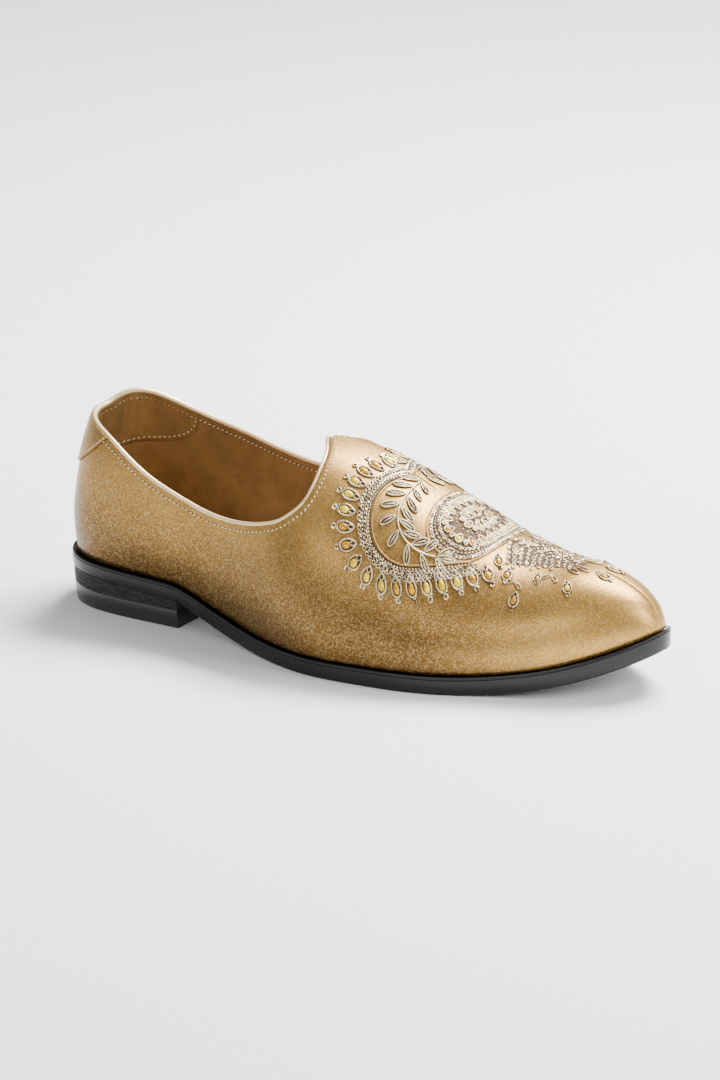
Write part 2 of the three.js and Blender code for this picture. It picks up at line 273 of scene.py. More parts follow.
def upper_point(side, angle, u):
    """Outer face of the upper: angle is the station, u runs from the crest (0) to the ledge (1)."""
    share = share_at(angle)
    foot = inset_point(side, angle, np.full(np.shape(angle), LEDGE))
    partner = inset_point(-side, angle, np.full(np.shape(angle), LEDGE))
    crest = (foot + partner) / 2
    crest[..., 1] = blend(crest[..., 1], crest_side(share), np.sin(angle))
    bottom = sole_top(foot[..., 0]) + GAP
    turn = u * math.pi / 2
    roundness = np.where(side < 0, lateral_round(share), medial_round(share))
    reach = np.clip(np.sin(turn), 0, 1) ** (2 / roundness)
    rise = np.clip(np.cos(turn), 0, 1) ** (2 / height_round(share))
    tuck = 1 - np.minimum(1, rise / TUCK_HEIGHT)
    out = outward(side, angle)
    plan = blend(crest, foot, reach[..., None])
    plan = plan + out * (swell_of(share) * (1 - tuck ** 2) * reach)[..., None]
    leaning = 1 - smooth_step(share / HEEL_LEAN_REACH)
    plan[..., 0] += HEEL_LEAN * leaning * rise ** 2
    z = bottom + crest_over(bottom, share) * rise
    dent = crease_lift(side, plan[..., 0], z)
    plan = plan + out * (dent * reach)[..., None]
    return np.concatenate([plan, (z + dent * rise)[..., None]], -1)


def girth(side, angle):
    share = share_at(angle)
    height = crest_over(sole_top(LENGTH * share), share)
    return half_width(side, share) * np.sin(angle) + RISE_SHARE * height


def shell(w, v):
    """Outer face of the upper: w goes round the shoe, from the throat or toe (-1) along the
    lateral side to the back (0) and along the medial side to the throat or toe (1); v goes
    from the edge of the opening (0) down to the ledge (1)."""
    w, v = np.broadcast_arrays(np.asarray(w, float), np.asarray(v, float))
    w = (w + 1) % 2 - 1
    side = np.where(w < 0, -1.0, 1.0)
    q = np.abs(w)
    ledge_angle = math.pi * q
    edge_angle = angle_of((LENGTH * share_at(ledge_angle) - edge_back(q)) / LENGTH)
    depth = np.where(side < 0, edge_lateral(q), edge_medial(q))
    angle = blend(edge_angle, ledge_angle, v)
    down = blend(depth * girth(side, edge_angle), girth(side, ledge_angle), v)
    u = np.clip(down / np.maximum(girth(side, angle), 1e-6), 0, 1)
    return upper_point(side, angle, u)


def unit(vectors):
    return vectors / np.maximum(np.linalg.norm(vectors, axis=-1, keepdims=True), 1e-9)


W_STEP = 0.0015
V_STEP = 0.004


def shell_frame(w, v):
    """Point of the shell with its directions along w, down v and outwards, and the speed of v."""
    low, high = np.minimum(v, 1 - V_STEP), np.minimum(v + V_STEP, 1)
    along = shell(w + W_STEP, v) - shell(w - W_STEP, v)
    down = shell(w, high) - shell(w, low)
    speed = np.linalg.norm(down, axis=-1) / (high - low)
    normal = unit(np.cross(along, down))
    return shell(w, v), unit(along), unit(down), normal, speed


def lifted_shell(w, v, lift):
    point, _, _, normal, _ = shell_frame(w, v)
    return point + normal * np.asarray(lift)[..., None]


outline_y = np.concatenate([
    outline(np.full(400, side), np.linspace(0, math.pi, 400))[:, 1] for side in (-1.0, 1.0)
])
sole_low, sole_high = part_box("outsole")
ORIGIN = np.array([
    sole_low[0] / MM,
    (sole_low[1] + sole_high[1]) / 2 / MM - (outline_y.min() + outline_y.max()) / 2,
    0,
])


def in_frame(points):
    """Heel-based millimetres to the frame's metres."""
    return (points + ORIGIN) * MM


# ---------------------------------------------------------------- the vamp's chart

# The vamp is charted flat: x along the shoe, t round the section from the crest, in mm.
CHART_X = np.linspace(112, 297, 260)
CHART_T = np.linspace(0, 96, 193)


def chart_rows(side):
    u = np.linspace(0, 1, 200) ** 1.3
    angle = angle_of(CHART_X / LENGTH)
    angles, depths = np.meshgrid(angle, u, indexing="ij")
    grid = upper_point(np.full(angles.shape, side), angles, depths)
    far = np.cumsum(np.linalg.norm(np.diff(grid, axis=1), axis=-1), axis=1)
    return np.array([np.interp(CHART_T, [0, *row], u) for row in far])


chart_depth = {-1: chart_rows(-1.0), 1: chart_rows(1.0)}


def vamp(x, t):
    side = np.where(t < 0, -1.0, 1.0)
    at_x = np.clip((x - CHART_X[0]) / (CHART_X[1] - CHART_X[0]), 0, len(CHART_X) - 1.001)
    at_t = np.clip(np.abs(t) / CHART_T[1], 0, len(CHART_T) - 1.001)
    i, j = at_x.astype(int), at_t.astype(int)
    a, b = at_x - i, at_t - j
    u = 0
    for rows, own in ((chart_depth[-1], side < 0), (chart_depth[1], side > 0)):
        near, far = (blend(rows[k, j], rows[k, j + 1], b) for k in (i, i + 1))
        here = blend(near, far, a)
        u = u + np.where(own, here, 0)
    return upper_point(side, angle_of(x / LENGTH), u)


CHART_STEP = 0.4


def vamp_lifted(x, t, lift):
    along = vamp(x + CHART_STEP, t) - vamp(x - CHART_STEP, t)
    across = vamp(x, t + CHART_STEP) - vamp(x, t - CHART_STEP)
    return vamp(x, t) + unit(np.cross(along, across)) * np.asarray(lift)[..., None]


def chart_stretch(x, t):
    """Real length per mm of the chart, along x."""
    along = vamp(x + CHART_STEP, t) - vamp(x - CHART_STEP, t)
    return np.linalg.norm(along, axis=-1) / (2 * CHART_STEP)


# ---------------------------------------------------------------- mesh helpers

SHARP_ANGLE = math.radians(38)


def finish_mesh(name, bm, material, slot, sharp=False):
    """Makes the object, smooth or with its sharp edges kept, and lets it ride on the shoe."""
    for face in bm.faces:
        face.smooth = True
    for edge in bm.edges if sharp else ():
        edge.smooth = len(edge.link_faces) != 2 or edge.calc_face_angle(0) < SHARP_ANGLE
    mesh = bpy.data.meshes.new(name)
    bm.to_mesh(mesh)
    bm.free()
    mesh.materials.append(material)
    piece = bpy.data.objects.new(name, mesh)
    bpy.context.scene.collection.objects.link(piece)
    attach(piece, "root")
    return piece


def grid_mesh(across, down, place):
    """Grid whose two directions run from 0 to 1, moved to the points that place gives."""
    bm = bmesh.new()
    bmesh.ops.create_grid(bm, x_segments=across, y_segments=down, size=0.5)
    flat = np.array([vert.co[:2] for vert in bm.verts]) + 0.5
    for vert, point in zip(bm.verts, in_frame(place(flat[:, 0], flat[:, 1]))):
        vert.co = point
    bmesh.ops.remove_doubles(bm, verts=bm.verts, dist=0.000004)
    return bm


def close_holes(bm):
    rim = [edge for edge in bm.edges if edge.is_boundary]
    made = bmesh.ops.holes_fill(bm, edges=rim, sides=0)
    bmesh.ops.triangulate(bm, faces=made["faces"])
    bmesh.ops.recalc_face_normals(bm, faces=bm.faces)


def thicken(piece, thickness, offset):
    solid = piece.modifiers.new("wall", "SOLIDIFY")
    solid.thickness = thickness * MM
    solid.offset = offset


def soften(piece, width):
    """Rounds the piece's sharp edges."""
    rounding = piece.modifiers.new("rounding", "BEVEL")
    rounding.width = width * MM
    rounding.segments = 2
    rounding.limit_method = "ANGLE"
    rounding.angle_limit = math.radians(40)


def shape_of(bm):
    """Turns a small bmesh into a mesh to be repeated."""
    mesh = bpy.data.meshes.new("shape")
    bmesh.ops.recalc_face_normals(bm, faces=bm.faces)
    bm.to_mesh(mesh)
    bm.free()
    return mesh


def corners(mesh):
    flat = np.empty(len(mesh.vertices) * 3)
    mesh.vertices.foreach_get("co", flat)
    return flat.reshape(-1, 3)


def repeat(name, mesh, places, material, slot):
    """Joins a copy of the small mesh for each array of places, in heel-based mm."""
    bm = bmesh.new()
    for _ in places:
        bm.from_mesh(mesh)
    piece = finish_mesh(name, bm, material, slot)
    piece.data.vertices.foreach_set("co", in_frame(np.concatenate(places)).ravel())
    piece.data.update()


def on_chart(mesh, x, t, turn, size=1.0, lift=0.0, shape=(1, 1, 1)):
    """The small mesh's corners laid on the vamp, turned by an angle from x towards t."""
    a, b, height = (corners(mesh) * size * np.array(shape)).T
    along = a * math.cos(turn) - b * math.sin(turn)
    across = a * math.sin(turn) + b * math.cos(turn)
    stretch = chart_stretch(np.array([x]), np.array([t]))[0]
    return vamp_lifted(x + along / stretch, t + across, height + lift)


def on_frame(mesh, point, along, across, normal, size=1.0):
    """The small mesh's corners at a point with its own three directions."""
    a, b, height = (corners(mesh) * size).T
    return point + a[:, None] * along + b[:, None] * across + height[:, None] * normal


def ball(flat):
    bm = bmesh.new()
    bmesh.ops.create_icosphere(bm, subdivisions=1, radius=1)
    bmesh.ops.scale(bm, vec=(1, 1, flat), verts=bm.verts)
    return shape_of(bm)


WIRE_SIDES = 5


def wire_ring(around, thickness):
    """Ring of round wire with a middle radius of 1."""
    bm = bmesh.new()
    bmesh.ops.create_circle(bm, segments=WIRE_SIDES, radius=thickness)
    bmesh.ops.rotate(bm, verts=bm.verts, cent=(0, 0, 0), matrix=Matrix.Rotation(math.pi / 2, 3, "X"))
    bmesh.ops.translate(bm, verts=bm.verts, vec=(1, 0, 0))
    bmesh.ops.spin(bm, geom=bm.verts[:] + bm.edges[:], cent=(0, 0, 0), axis=(0, 0, 1),
                   angle=math.tau, steps=around, use_merge=True)
    bmesh.ops.remove_doubles(bm, verts=bm.verts, dist=0.001)
    return bm


def wire_loop(place, around, thickness):
    """Wire ring drawn out to another outline: place gives the outline's point for each angle."""
    bm = wire_ring(around, thickness)
    for vert in bm.verts:
        angle = math.atan2(vert.co.y, vert.co.x)
        off = math.hypot(vert.co.x, vert.co.y) - 1
        here, after = place(angle), place(angle + 0.01)
        along = (after - here).normalized()
        vert.co = Vector((here.x + along.y * off, here.y - along.x * off, vert.co.z))
    return shape_of(bm)


def leaf_outline(length, width, tip):
    """Long drop from the origin along x: round at its far end, more pointed with a larger tip."""
    def place(angle):
        x = length / 2 * (1 - math.cos(angle))
        slim = math.sin(angle / 2) ** tip if angle % math.tau else 0
        return Vector((x, -width / 2 * math.sin(angle) * abs(slim)))
    return place


class Strand:
    """Smooth line in the vamp's chart through a few points, measured by its length."""

    def __init__(self, points, mirror=False):
        points = np.array(points, float)
        if mirror:
            points = points * (1, -1)
        step = np.linalg.norm(np.diff(points, axis=0), axis=1)
        keys = np.array([0, *np.cumsum(step)])
        fine = np.linspace(0, keys[-1], 400)
        self.points = np.stack([Curve(keys, points[:, 0])(fine), Curve(keys, points[:, 1])(fine)], -1)
        self.far = np.array([0, *np.cumsum(np.linalg.norm(np.diff(self.points, axis=0), axis=1))])
        self.length = self.far[-1]

    def at(self, distance):
        """Point and direction at a distance from the start."""
        x = np.interp(distance, self.far, self.points[:, 0])
        t = np.interp(distance, self.far, self.points[:, 1])
        near = np.stack([distance - 0.5, distance + 0.5])
        along, aside = (np.diff(np.interp(near, self.far, self.points[:, k]), axis=0)[0] for k in (0, 1))
        return x, t, np.arctan2(aside, along)

    def steps(self, pitch, start=0.0):
        count = max(1, round((self.length - start) / pitch))
        return np.linspace(start, self.length, count + 1)

    def beside(self, distance, off):
        """Point at a distance along and off to the left."""
        x, t, turn = self.at(distance)
        return x - off * np.sin(turn), t + off * np.cos(turn), turn


def cord_on_chart(name, strands, radius, material, slot, lift, sides=6, flat=1.0):
    """Round cords laid along strands of the chart."""
    joined = bmesh.new()
    for strand in strands:
        count = max(6, round(strand.length))

        def place(u, v, strand=strand):
            turn = v * math.tau
            x, t, way = strand.beside(u * strand.length, 0)
            end = np.sqrt(np.clip(1 - (2 * u - 1) ** 40, 0, 1))
            out = radius * end * np.cos(turn)
            stretch = chart_stretch(x, t)
            return vamp_lifted(x - out * np.sin(way) / stretch, t + out * np.cos(way),
                               lift + radius * flat * end * np.sin(turn))
        part = grid_mesh(count, sides, place)
        bmesh.ops.recalc_face_normals(part, faces=part.faces)
        mesh = bpy.data.meshes.new("cord")
        part.to_mesh(mesh)
        part.free()
        joined.from_mesh(mesh)
    finish_mesh(name, joined, material, slot)


# ---------------------------------------------------------------- materials

def rgb(code):
    """Linear colour of a hexadecimal one."""
    parts = [int(code[i:i + 2], 16) / 255 for i in (1, 3, 5)]
    return (*[c / 12.92 if c <= 0.04045 else ((c + 0.055) / 1.055) ** 2.4 for c in parts], 1)


# A Mix node set to colours: numbers of its factor, two colours and result
MIX_FACTOR, MIX_A, MIX_B, MIX_RESULT = 0, 6, 7, 2


class Wire:
    """One output of a material's nodes. Sums and products with it add Math nodes."""

    def __init__(self, tree, socket=None):
        self.tree = tree
        self.socket = socket

    def node(self, kind, settings=None, inputs=None, output=0):
        """Adds a node: its settings first, then its inputs."""
        made = self.tree.nodes.new(kind)
        for key, value in (settings or {}).items():
            setattr(made, key, value)
        for key, value in (inputs or {}).items():
            if isinstance(value, Wire):
                self.tree.links.new(value.socket, made.inputs[key])
            else:
                made.inputs[key].default_value = value
        return Wire(self.tree, made.outputs[output])

    def math(self, operation, *values):
        return self.node("ShaderNodeMath", {"operation": operation}, dict(enumerate(values)))

    def __add__(self, other):
        return self.math("ADD", self, other)

    def __sub__(self, other):
        return self.math("SUBTRACT", self, other)

    def __rsub__(self, other):
        return self.math("SUBTRACT", other, self)

    def __mul__(self, other):
        return self.math("MULTIPLY", self, other)

    __radd__ = __add__
    __rmul__ = __mul__

    def between(self, low, high):
        """0 below low, 1 above high, and smooth between them."""
        settings = {"interpolation_type": "SMOOTHSTEP"}
        return self.node("ShaderNodeMapRange", settings, {"Value": self, "From Min": low, "From Max": high})

    def mix(self, first, second):
        """Colour from the first to the second as this goes from 0 to 1."""
        inputs = {MIX_FACTOR: self, MIX_A: first, MIX_B: second}
        return self.node("ShaderNodeMix", {"data_type": "RGBA"}, inputs, MIX_RESULT)


class Finish:
    """A material: its nodes' start, its places on the object and its shader."""

    def __init__(self, name, **constants):
        self.material = bpy.data.materials.new(name)
        self.material.use_nodes = True
        tree = self.material.node_tree
        self.shader = tree.nodes["Principled BSDF"]
        for key, value in constants.items():
            self.shader.inputs[key.replace("_", " ")].default_value = value
        self.start = Wire(tree)
        self.place = self.start.node("ShaderNodeTexCoord", output="Object")

    def axis(self, number):
        """One coordinate on the object, in metres."""
        return self.start.node("ShaderNodeSeparateXYZ", inputs={"Vector": self.place}, output=number)

    def stretched(self, x, y, z):
        return self.start.node("ShaderNodeMapping", inputs={"Vector": self.place, "Scale": (x, y, z)})

    def noise(self, size, detail, place=None):
        """Cloudy noise with clouds of a size in mm."""
        inputs = {"Vector": place or self.place, "Scale": 1 / (size * MM), "Detail": detail}
        return self.start.node("ShaderNodeTexNoise", inputs=inputs)

    def cells(self, size, output="Distance"):
        inputs = {"Vector": self.place, "Scale": 1 / (size * MM)}
        return self.start.node("ShaderNodeTexVoronoi", inputs=inputs, output=output)

    def feed(self, name, wire):
        self.start.tree.links.new(wire.socket, self.shader.inputs[name])

    def bump(self, height, depth):
        """Bump from a height of 0 to 1, depth in mm."""
        inputs = {"Height": height, "Distance": depth * MM, "Strength": 1.0}
        self.feed("Normal", self.start.node("ShaderNodeBump", inputs=inputs))


def gold_leather():
    """Foiled leather: gold on its grain, with painted shade that darkens it browner low on the sides and
    round the heel.
    """
    finish = Finish("gold_leather", IOR=1.45)
    pebble = finish.cells(0.75)
    fine = finish.noise(0.36, 3)
    cloud = finish.noise(18, 3)
    flake = finish.cells(0.5, "Color")
    speck = flake.math("GREATER_THAN", flake, 0.66)
    pit = pebble.between(0.3, 0.75)
    along = finish.axis(0)
    # Painted shade: browner low on the sides, fading out towards the toe, and round the heel.
    low = 1 - finish.axis(2).between(0.012, 0.078)
    painted_shade = low * (1 - along.between(0.045, 0.12)) + (1 - along.between(-0.15, -0.03)) * 0.3
    tone = (0.72 + (cloud - 0.5) * 0.2 + (fine - 0.5) * 0.5 - pit * 0.15 - painted_shade * 0.55).between(0.0, 1.0)
    gold = tone.mix(rgb("#553A12"), rgb("#C0944A"))
    finish.feed("Base Color", (speck * 0.18).mix(gold, rgb("#EFCF8E")))
    finish.feed("Metallic", 0.85 - speck * 0.15 - pit * 0.2)
    finish.feed("Roughness", 0.31 + (cloud - 0.5) * 0.06 + pit * 0.12 + (fine - 0.5) * 0.16)
    finish.bump(fine * 0.7 - pebble * 0.5, 0.09)
    return finish.material


def lining_leather():
    finish = Finish("lining", IOR=1.4)
    cloud = finish.noise(12, 3)
    fine = finish.noise(0.6, 3)
    tone = ((cloud - 0.5) * 0.9 + (fine - 0.5) * 0.35 + 0.5).between(0.1, 0.9)
    finish.feed("Base Color", tone.mix(rgb("#6E5630"), rgb("#8F7348")))
    finish.feed("Roughness", 0.44 + (fine - 0.5) * 0.2)
    finish.feed("Metallic", 0.35 + (cloud - 0.5) * 0.1)
    finish.bump(fine + finish.cells(1.1) * 0.4, 0.05)
    return finish.material


def insole_leather():
    finish = Finish("insole", IOR=1.4)
    cloud = finish.noise(20, 3)
    fine = finish.noise(0.7, 3)
    tone = ((cloud - 0.5) * 0.8 + (fine - 0.5) * 0.3 + 0.5).between(0.1, 0.9)
    finish.feed("Base Color", tone.mix(rgb("#D9A678"), rgb("#EBC39C")))
    finish.feed("Roughness", 0.58 + (fine - 0.5) * 0.2)
    finish.bump(fine, 0.05)
    return finish.material


def edge_leather():
    finish = Finish("edge_binding", IOR=1.45)
    fine = finish.noise(0.8, 3)
    cloud = finish.noise(9, 2)
    tone = ((fine - 0.5) * 0.8 + (cloud - 0.5) * 0.6 + 0.5).between(0.1, 0.9)
    # The pale cream is a painted highlight: it stands for the light caught by the top of the folded gold
    # edge.
    finish.feed("Base Color", tone.mix(rgb("#D8B47C"), rgb("#FBE5BE")))
    finish.feed("Roughness", 0.34 + (fine - 0.5) * 0.15)
    finish.feed("Metallic", 0.45 + (cloud - 0.5) * 0.2)
    finish.bump(fine, 0.04)
    return finish.material


def thread(name, dark, light, metal):
    finish = Finish(name, IOR=1.45)
    strand = finish.noise(0.32, 2, finish.stretched(1, 1, 2.0))
    cloud = finish.noise(5, 2)
    # Tone rises with the strand bump, so the colour is darker in the grooves between strands and lighter on
    # their ridges: painted shade and a painted highlight, with real tone variation from the cloud.
    tone = ((strand - 0.5) * 1.5 + (cloud - 0.5) * 0.6 + 0.52).between(0.2, 0.8)
    finish.feed("Base Color", tone.mix(rgb(dark), rgb(light)))
    finish.feed("Metallic", metal + (strand - 0.5) * 0.2)
    finish.feed("Roughness", 0.3 + (strand - 0.5) * 0.25)
    finish.bump(strand, 0.09)
    return finish.material


def glossy(name, dark, light, roughness, metal=0.0, coat=0.0):
    finish = Finish(name, IOR=1.5, Coat_Roughness=0.08)
    cloud = finish.noise(2.2, 2)
    fine = finish.noise(0.5, 2)
    finish.feed("Base Color", cloud.between(0.3, 0.7).mix(rgb(dark), rgb(light)))
    finish.feed("Roughness", roughness + (fine - 0.5) * 0.1)
    finish.feed("Metallic", metal + (cloud - 0.5) * 0.1)
    finish.feed("Coat Weight", coat + (cloud - 0.5) * 0.1)
    finish.bump(fine, 0.015)
    return finish.material


def sole_black():
    finish = Finish("sole", IOR=1.33, Coat_Roughness=0.1)
    cloud = finish.noise(22, 3)
    fine = finish.noise(1.2, 3)
    tone = ((cloud - 0.5) * 0.8 + 0.5).between(0.1, 0.9)
    finish.feed("Base Color", tone.mix(rgb("#08090A"), rgb("#121315")))
    finish.feed("Roughness", 0.3 + (cloud - 0.5) * 0.12 + (fine - 0.5) * 0.1)
    finish.feed("Coat Weight", 0.12 + (cloud - 0.5) * 0.08)
    finish.bump(fine, 0.02)
    return finish.material


def stacked_black():
    finish = Finish("heel_stack", IOR=1.3)
    streak = finish.noise(1.1, 4, finish.stretched(0.22, 0.22, 2.2))
    chip = finish.noise(0.7, 3)
    tone = (streak - 0.5) * 1.2 + (chip - 0.5) * 0.7 + 0.5
    finish.feed("Base Color", tone.between(0.25, 0.85).mix(rgb("#0B0C0D"), rgb("#303236")))
    finish.feed("Roughness", 0.62 + (chip - 0.5) * 0.3)
    finish.bump(streak * 0.8 + chip * 0.5, 0.22)
    return finish.material


def studio_floor():
    finish = Finish("studio_floor")
    finish.feed("Base Color", finish.noise(400, 2).mix(rgb("#FAFAFA"), rgb("#FDFDFD")))
    finish.feed("Roughness", 0.7 + (finish.noise(90, 2) - 0.5) * 0.1)
    return finish.material


LEATHER = gold_leather()
LINING = lining_leather()
INSOLE = insole_leather()
EDGING = edge_leather()
STITCHING = thread("stitching", "#C9AC78", "#F6E7C6", 0.15)
# The silver thread's dark brown is painted shade between the wires, and its pale cream a painted highlight on
# them.
SILVER = thread("silver_thread", "#5A4018", "#FBE9C2", 0.85)
CORD_GOLD = thread("cord_gold", "#7A5A2C", "#C79A5A", 0.45)
# Dark brown sheets, plates and strips of painted shade under the embroidery, dark between and round its
# wires.
PAINTED_SHADE = glossy("painted_shade_under_thread", "#38240A", "#6B4A1A", 0.78)
BEADS = glossy("beads", "#6E5022", "#FFEEC8", 0.2, metal=0.85, coat=0.3)
AMBER = glossy("amber_stones", "#946200", "#E0A200", 0.16, metal=0.05, coat=0.35)
YELLOW = glossy("yellow_stones", "#C49A00", "#FFE020", 0.16, metal=0.05, coat=0.35)
# Dark dots of painted shade stand for the needle holes between stitches.
HOLE_SHADE = glossy("needle_hole_shade", "#3A2712", "#5A3D1E", 0.7)
SOLE_BLACK = sole_black()
STACK_BLACK = stacked_black()
LIFT_BLACK = glossy("top_lift", "#0C0D0E", "#17181A", 0.34, coat=0.15)

# ---------------------------------------------------------------- upper and its edge

LEATHER_THICKNESS = 1.2
LINING_THICKNESS = 0.5
WALL = 1.8
EDGE_WIDTH = 1.15
EDGE_HEIGHT = 0.95
EDGE_DROP = -0.3


def wrap_shell(lift):
    def place(u, v):
        return lifted_shell(2 * u - 1, v, lift + 0 * u)
    return place


def make_upper():
    piece = finish_mesh("upper_leather", grid_mesh(330, 84, wrap_shell(0)), LEATHER, "gold_leather")
    thicken(piece, LEATHER_THICKNESS, -1)
    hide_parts("upper")


# Folds of the heel grip: place round the shoe, half width, height
GRIP_FOLDS = (
    (-0.150, 0.016, 0.45),
    (-0.085, 0.012, -0.50),
    (-0.045, 0.013, 0.55),
    (0.010, 0.011, -0.55),
    (0.048, 0.012, 0.60),
    (0.078, 0.010, -0.60),
    (0.104, 0.011, 0.50),
    (0.150, 0.018, -0.35),
)
GRIP_END = 0.247
GRIP_DROP = 0.60
GRIP_POWER = 3
GRIP_THICKNESS = 0.45


def fold_lift(w, v):
    low = np.clip(v / 0.1, 0, 1) * np.clip((0.75 - v) / 0.35, 0, 1)
    return low * sum(height * np.exp(-((w - at) / width) ** 2) for at, width, height in GRIP_FOLDS)


def lining_face(w, v, lift):
    return lifted_shell(w, v, lift - LEATHER_THICKNESS - 0.08 - fold_lift(w, v))


def make_lining():
    bm = grid_mesh(300, 60, lambda u, v: lining_face(2 * u - 1, v, 0 * u))
    piece = finish_mesh("lining", bm, LINING, "lining")
    thicken(piece, LINING_THICKNESS, -1)


def grip_depth(w):
    return GRIP_DROP * np.clip(1 - np.abs(w / GRIP_END) ** GRIP_POWER, 0, 1) ** (1 / GRIP_POWER)


def make_grip():
    def place(u, v):
        w = -GRIP_END * np.cos(math.pi * u)
        return lining_face(w, v * grip_depth(w), -LINING_THICKNESS + 0 * u)
    piece = finish_mesh("heel_grip", grid_mesh(140, 30, place), LINING, "lining")
    thicken(piece, GRIP_THICKNESS, -1)


def make_edge():
    def place(u, v):
        point, _, down, normal, _ = shell_frame(2 * u - 1, 0 * u)
        turn = v * math.tau
        wide, tall = np.cos(turn), np.sin(turn)
        wide = np.sign(wide) * np.abs(wide) ** 0.8
        middle = point - normal * WALL / 2 + down * EDGE_DROP
        return middle + normal * (wide * EDGE_WIDTH)[:, None] - down * (tall * EDGE_HEIGHT)[:, None]
    bm = grid_mesh(420, 14, place)
    bmesh.ops.recalc_face_normals(bm, faces=bm.faces)
    finish_mesh("collar_edge", bm, EDGING, "edge_binding")


# ---------------------------------------------------------------- heel tab

# Lower edge of the tab in side view: x, height
TAB_SEAM = np.array([(-6, 60.0), (4, 62.0), (12, 66.5), (22, 73.5), (34, 83.5), (46, 93.5)])
TAB_BASE = 0.25
TAB_THICKNESS = 0.7
seam_height = Curve(TAB_SEAM[:, 0], TAB_SEAM[:, 1])


def tab_depth(w):
    """How far down the shell the tab's seam lies."""
    v = np.linspace(0, 0.9, 120)
    point = shell(np.asarray(w)[:, None], v[None, :])
    above = point[..., 2] > seam_height(point[..., 0])
    last = np.clip(above.sum(axis=1), 1, len(v) - 1)
    near = point[np.arange(len(last)), last]
    before = point[np.arange(len(last)), last - 1]
    gap = near[:, 2] - seam_height(near[:, 0])
    gap_before = before[:, 2] - seam_height(before[:, 0])
    share = np.clip(gap_before / np.maximum(gap_before - gap, 1e-6), 0, 1)
    return np.where(above[:, 0], v[last - 1] + share * (v[1] - v[0]), 0)


def tab_ends():
    w = np.linspace(-0.4, 0.4, 801)
    inside = w[tab_depth(w) > 0]
    return inside.min(), inside.max()


tab_start, tab_end = tab_ends()


def make_tab():
    def place(u, v):
        w = blend(tab_start, tab_end, u)
        return lifted_shell(w, blend(0.004, tab_depth(w), v), TAB_BASE + 0 * u)
    piece = finish_mesh("heel_tab_leather", grid_mesh(110, 26, place), LEATHER, "gold_leather")
    thicken(piece, TAB_THICKNESS, 1)
    soften(piece, 0.25)
    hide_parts("heel_tab")


# ---------------------------------------------------------------- stitches

STITCH_PITCH = 2.35
STITCH_LENGTH = 1.75
STITCH_RADIUS = 0.3
STITCH_SLANT = math.radians(14)
STITCH_LIFT = 0.12
HOLE_LIFT = 0.02
HOLE_SIZE = 0.42
EDGE_STITCHES = 3.1
LINING_STITCHES = 3.4
TAB_STITCHES = 1.3


def stitch_shape():
    """Short plump stitch along x."""
    bm = bmesh.new()
    bmesh.ops.create_uvsphere(bm, u_segments=6, v_segments=5, radius=1)
    bmesh.ops.rotate(bm, verts=bm.verts, cent=(0, 0, 0), matrix=Matrix.Rotation(math.pi / 2, 3, "Y"))
    bmesh.ops.scale(bm, vec=(STITCH_LENGTH / 2, STITCH_RADIUS, STITCH_RADIUS), verts=bm.verts)
    return shape_of(bm)


def spaced_line(w, v, pitch):
    """Places at an even pitch along a line of the shell: w, v and how many."""
    point = shell(w, v)
    far = np.array([0, *np.cumsum(np.linalg.norm(np.diff(point, axis=0), axis=1))])
    count = round(far[-1] / pitch)
    even = (np.arange(count) + 0.5) * far[-1] / count
    return np.interp(even, far, w), np.interp(even, far, v)


def stitch_row(name, w, v, lift, slant, pitch=STITCH_PITCH):
    """Row of stitches with a dark dot of painted shade for a needle hole between each two."""
    w, v = spaced_line(w, v, pitch)
    point = shell(w, v)
    ahead = unit(np.gradient(point, axis=0))
    _, _, _, normal, _ = shell_frame(w, v)
    across = unit(np.cross(normal, ahead))
    outer = point + normal * np.asarray(lift(w, v))[..., None]
    way = ahead * math.cos(slant) + across * math.sin(slant)
    side = np.cross(normal, way)
    face = normal if lift(w, v)[0] >= 0 else -normal
    stitch, hole = stitch_shape(), ball(0.35)
    spots = range(len(w))
    on_top = outer + face * STITCH_LIFT
    between = outer + ahead * pitch / 2 + face * HOLE_LIFT
    places = [on_frame(stitch, on_top[i], way[i], side[i], normal[i]) for i in spots]
    repeat(name, stitch, places, STITCHING, "stitching")
    places = [on_frame(hole, between[i], way[i], side[i], normal[i], HOLE_SIZE) for i in spots]
    repeat(name + "_hole_shade", hole, places, HOLE_SHADE, "stitching")


def make_stitches():
    w = np.linspace(-0.999, 0.999, 1600)
    _, _, _, _, speed = shell_frame(w, 0 * w)
    stitch_row("collar_stitches", w, EDGE_STITCHES / speed, lambda w, v: 0 * w, STITCH_SLANT)
    inner = WALL + 0.1
    stitch_row("lining_stitches", w, LINING_STITCHES / speed, lambda w, v: -inner - fold_lift(w, v),
               -STITCH_SLANT)
    w = np.linspace(tab_start + 0.004, tab_end - 0.004, 500)
    _, _, _, _, speed = shell_frame(w, 0 * w + 0.3)
    rise = TAB_BASE + TAB_THICKNESS
    depth = np.clip(tab_depth(w) - TAB_STITCHES / speed, 0.01, 1)
    stitch_row("tab_stitches", w, depth, lambda w, v: rise + 0 * w, 0, 2.2)
    w = -GRIP_END * np.cos(np.linspace(0.03, 1, 500)[:-15] * math.pi)
    depth = grip_depth(w)
    shrink = 1 - 0.03 / np.maximum(depth, 0.1)
    inner = WALL + LINING_THICKNESS
    stitch_row("grip_stitches", w * 0.985, depth * shrink, lambda w, v: -inner - fold_lift(w, v), 0, 2.6)


# ---------------------------------------------------------------- sole, heel and insole

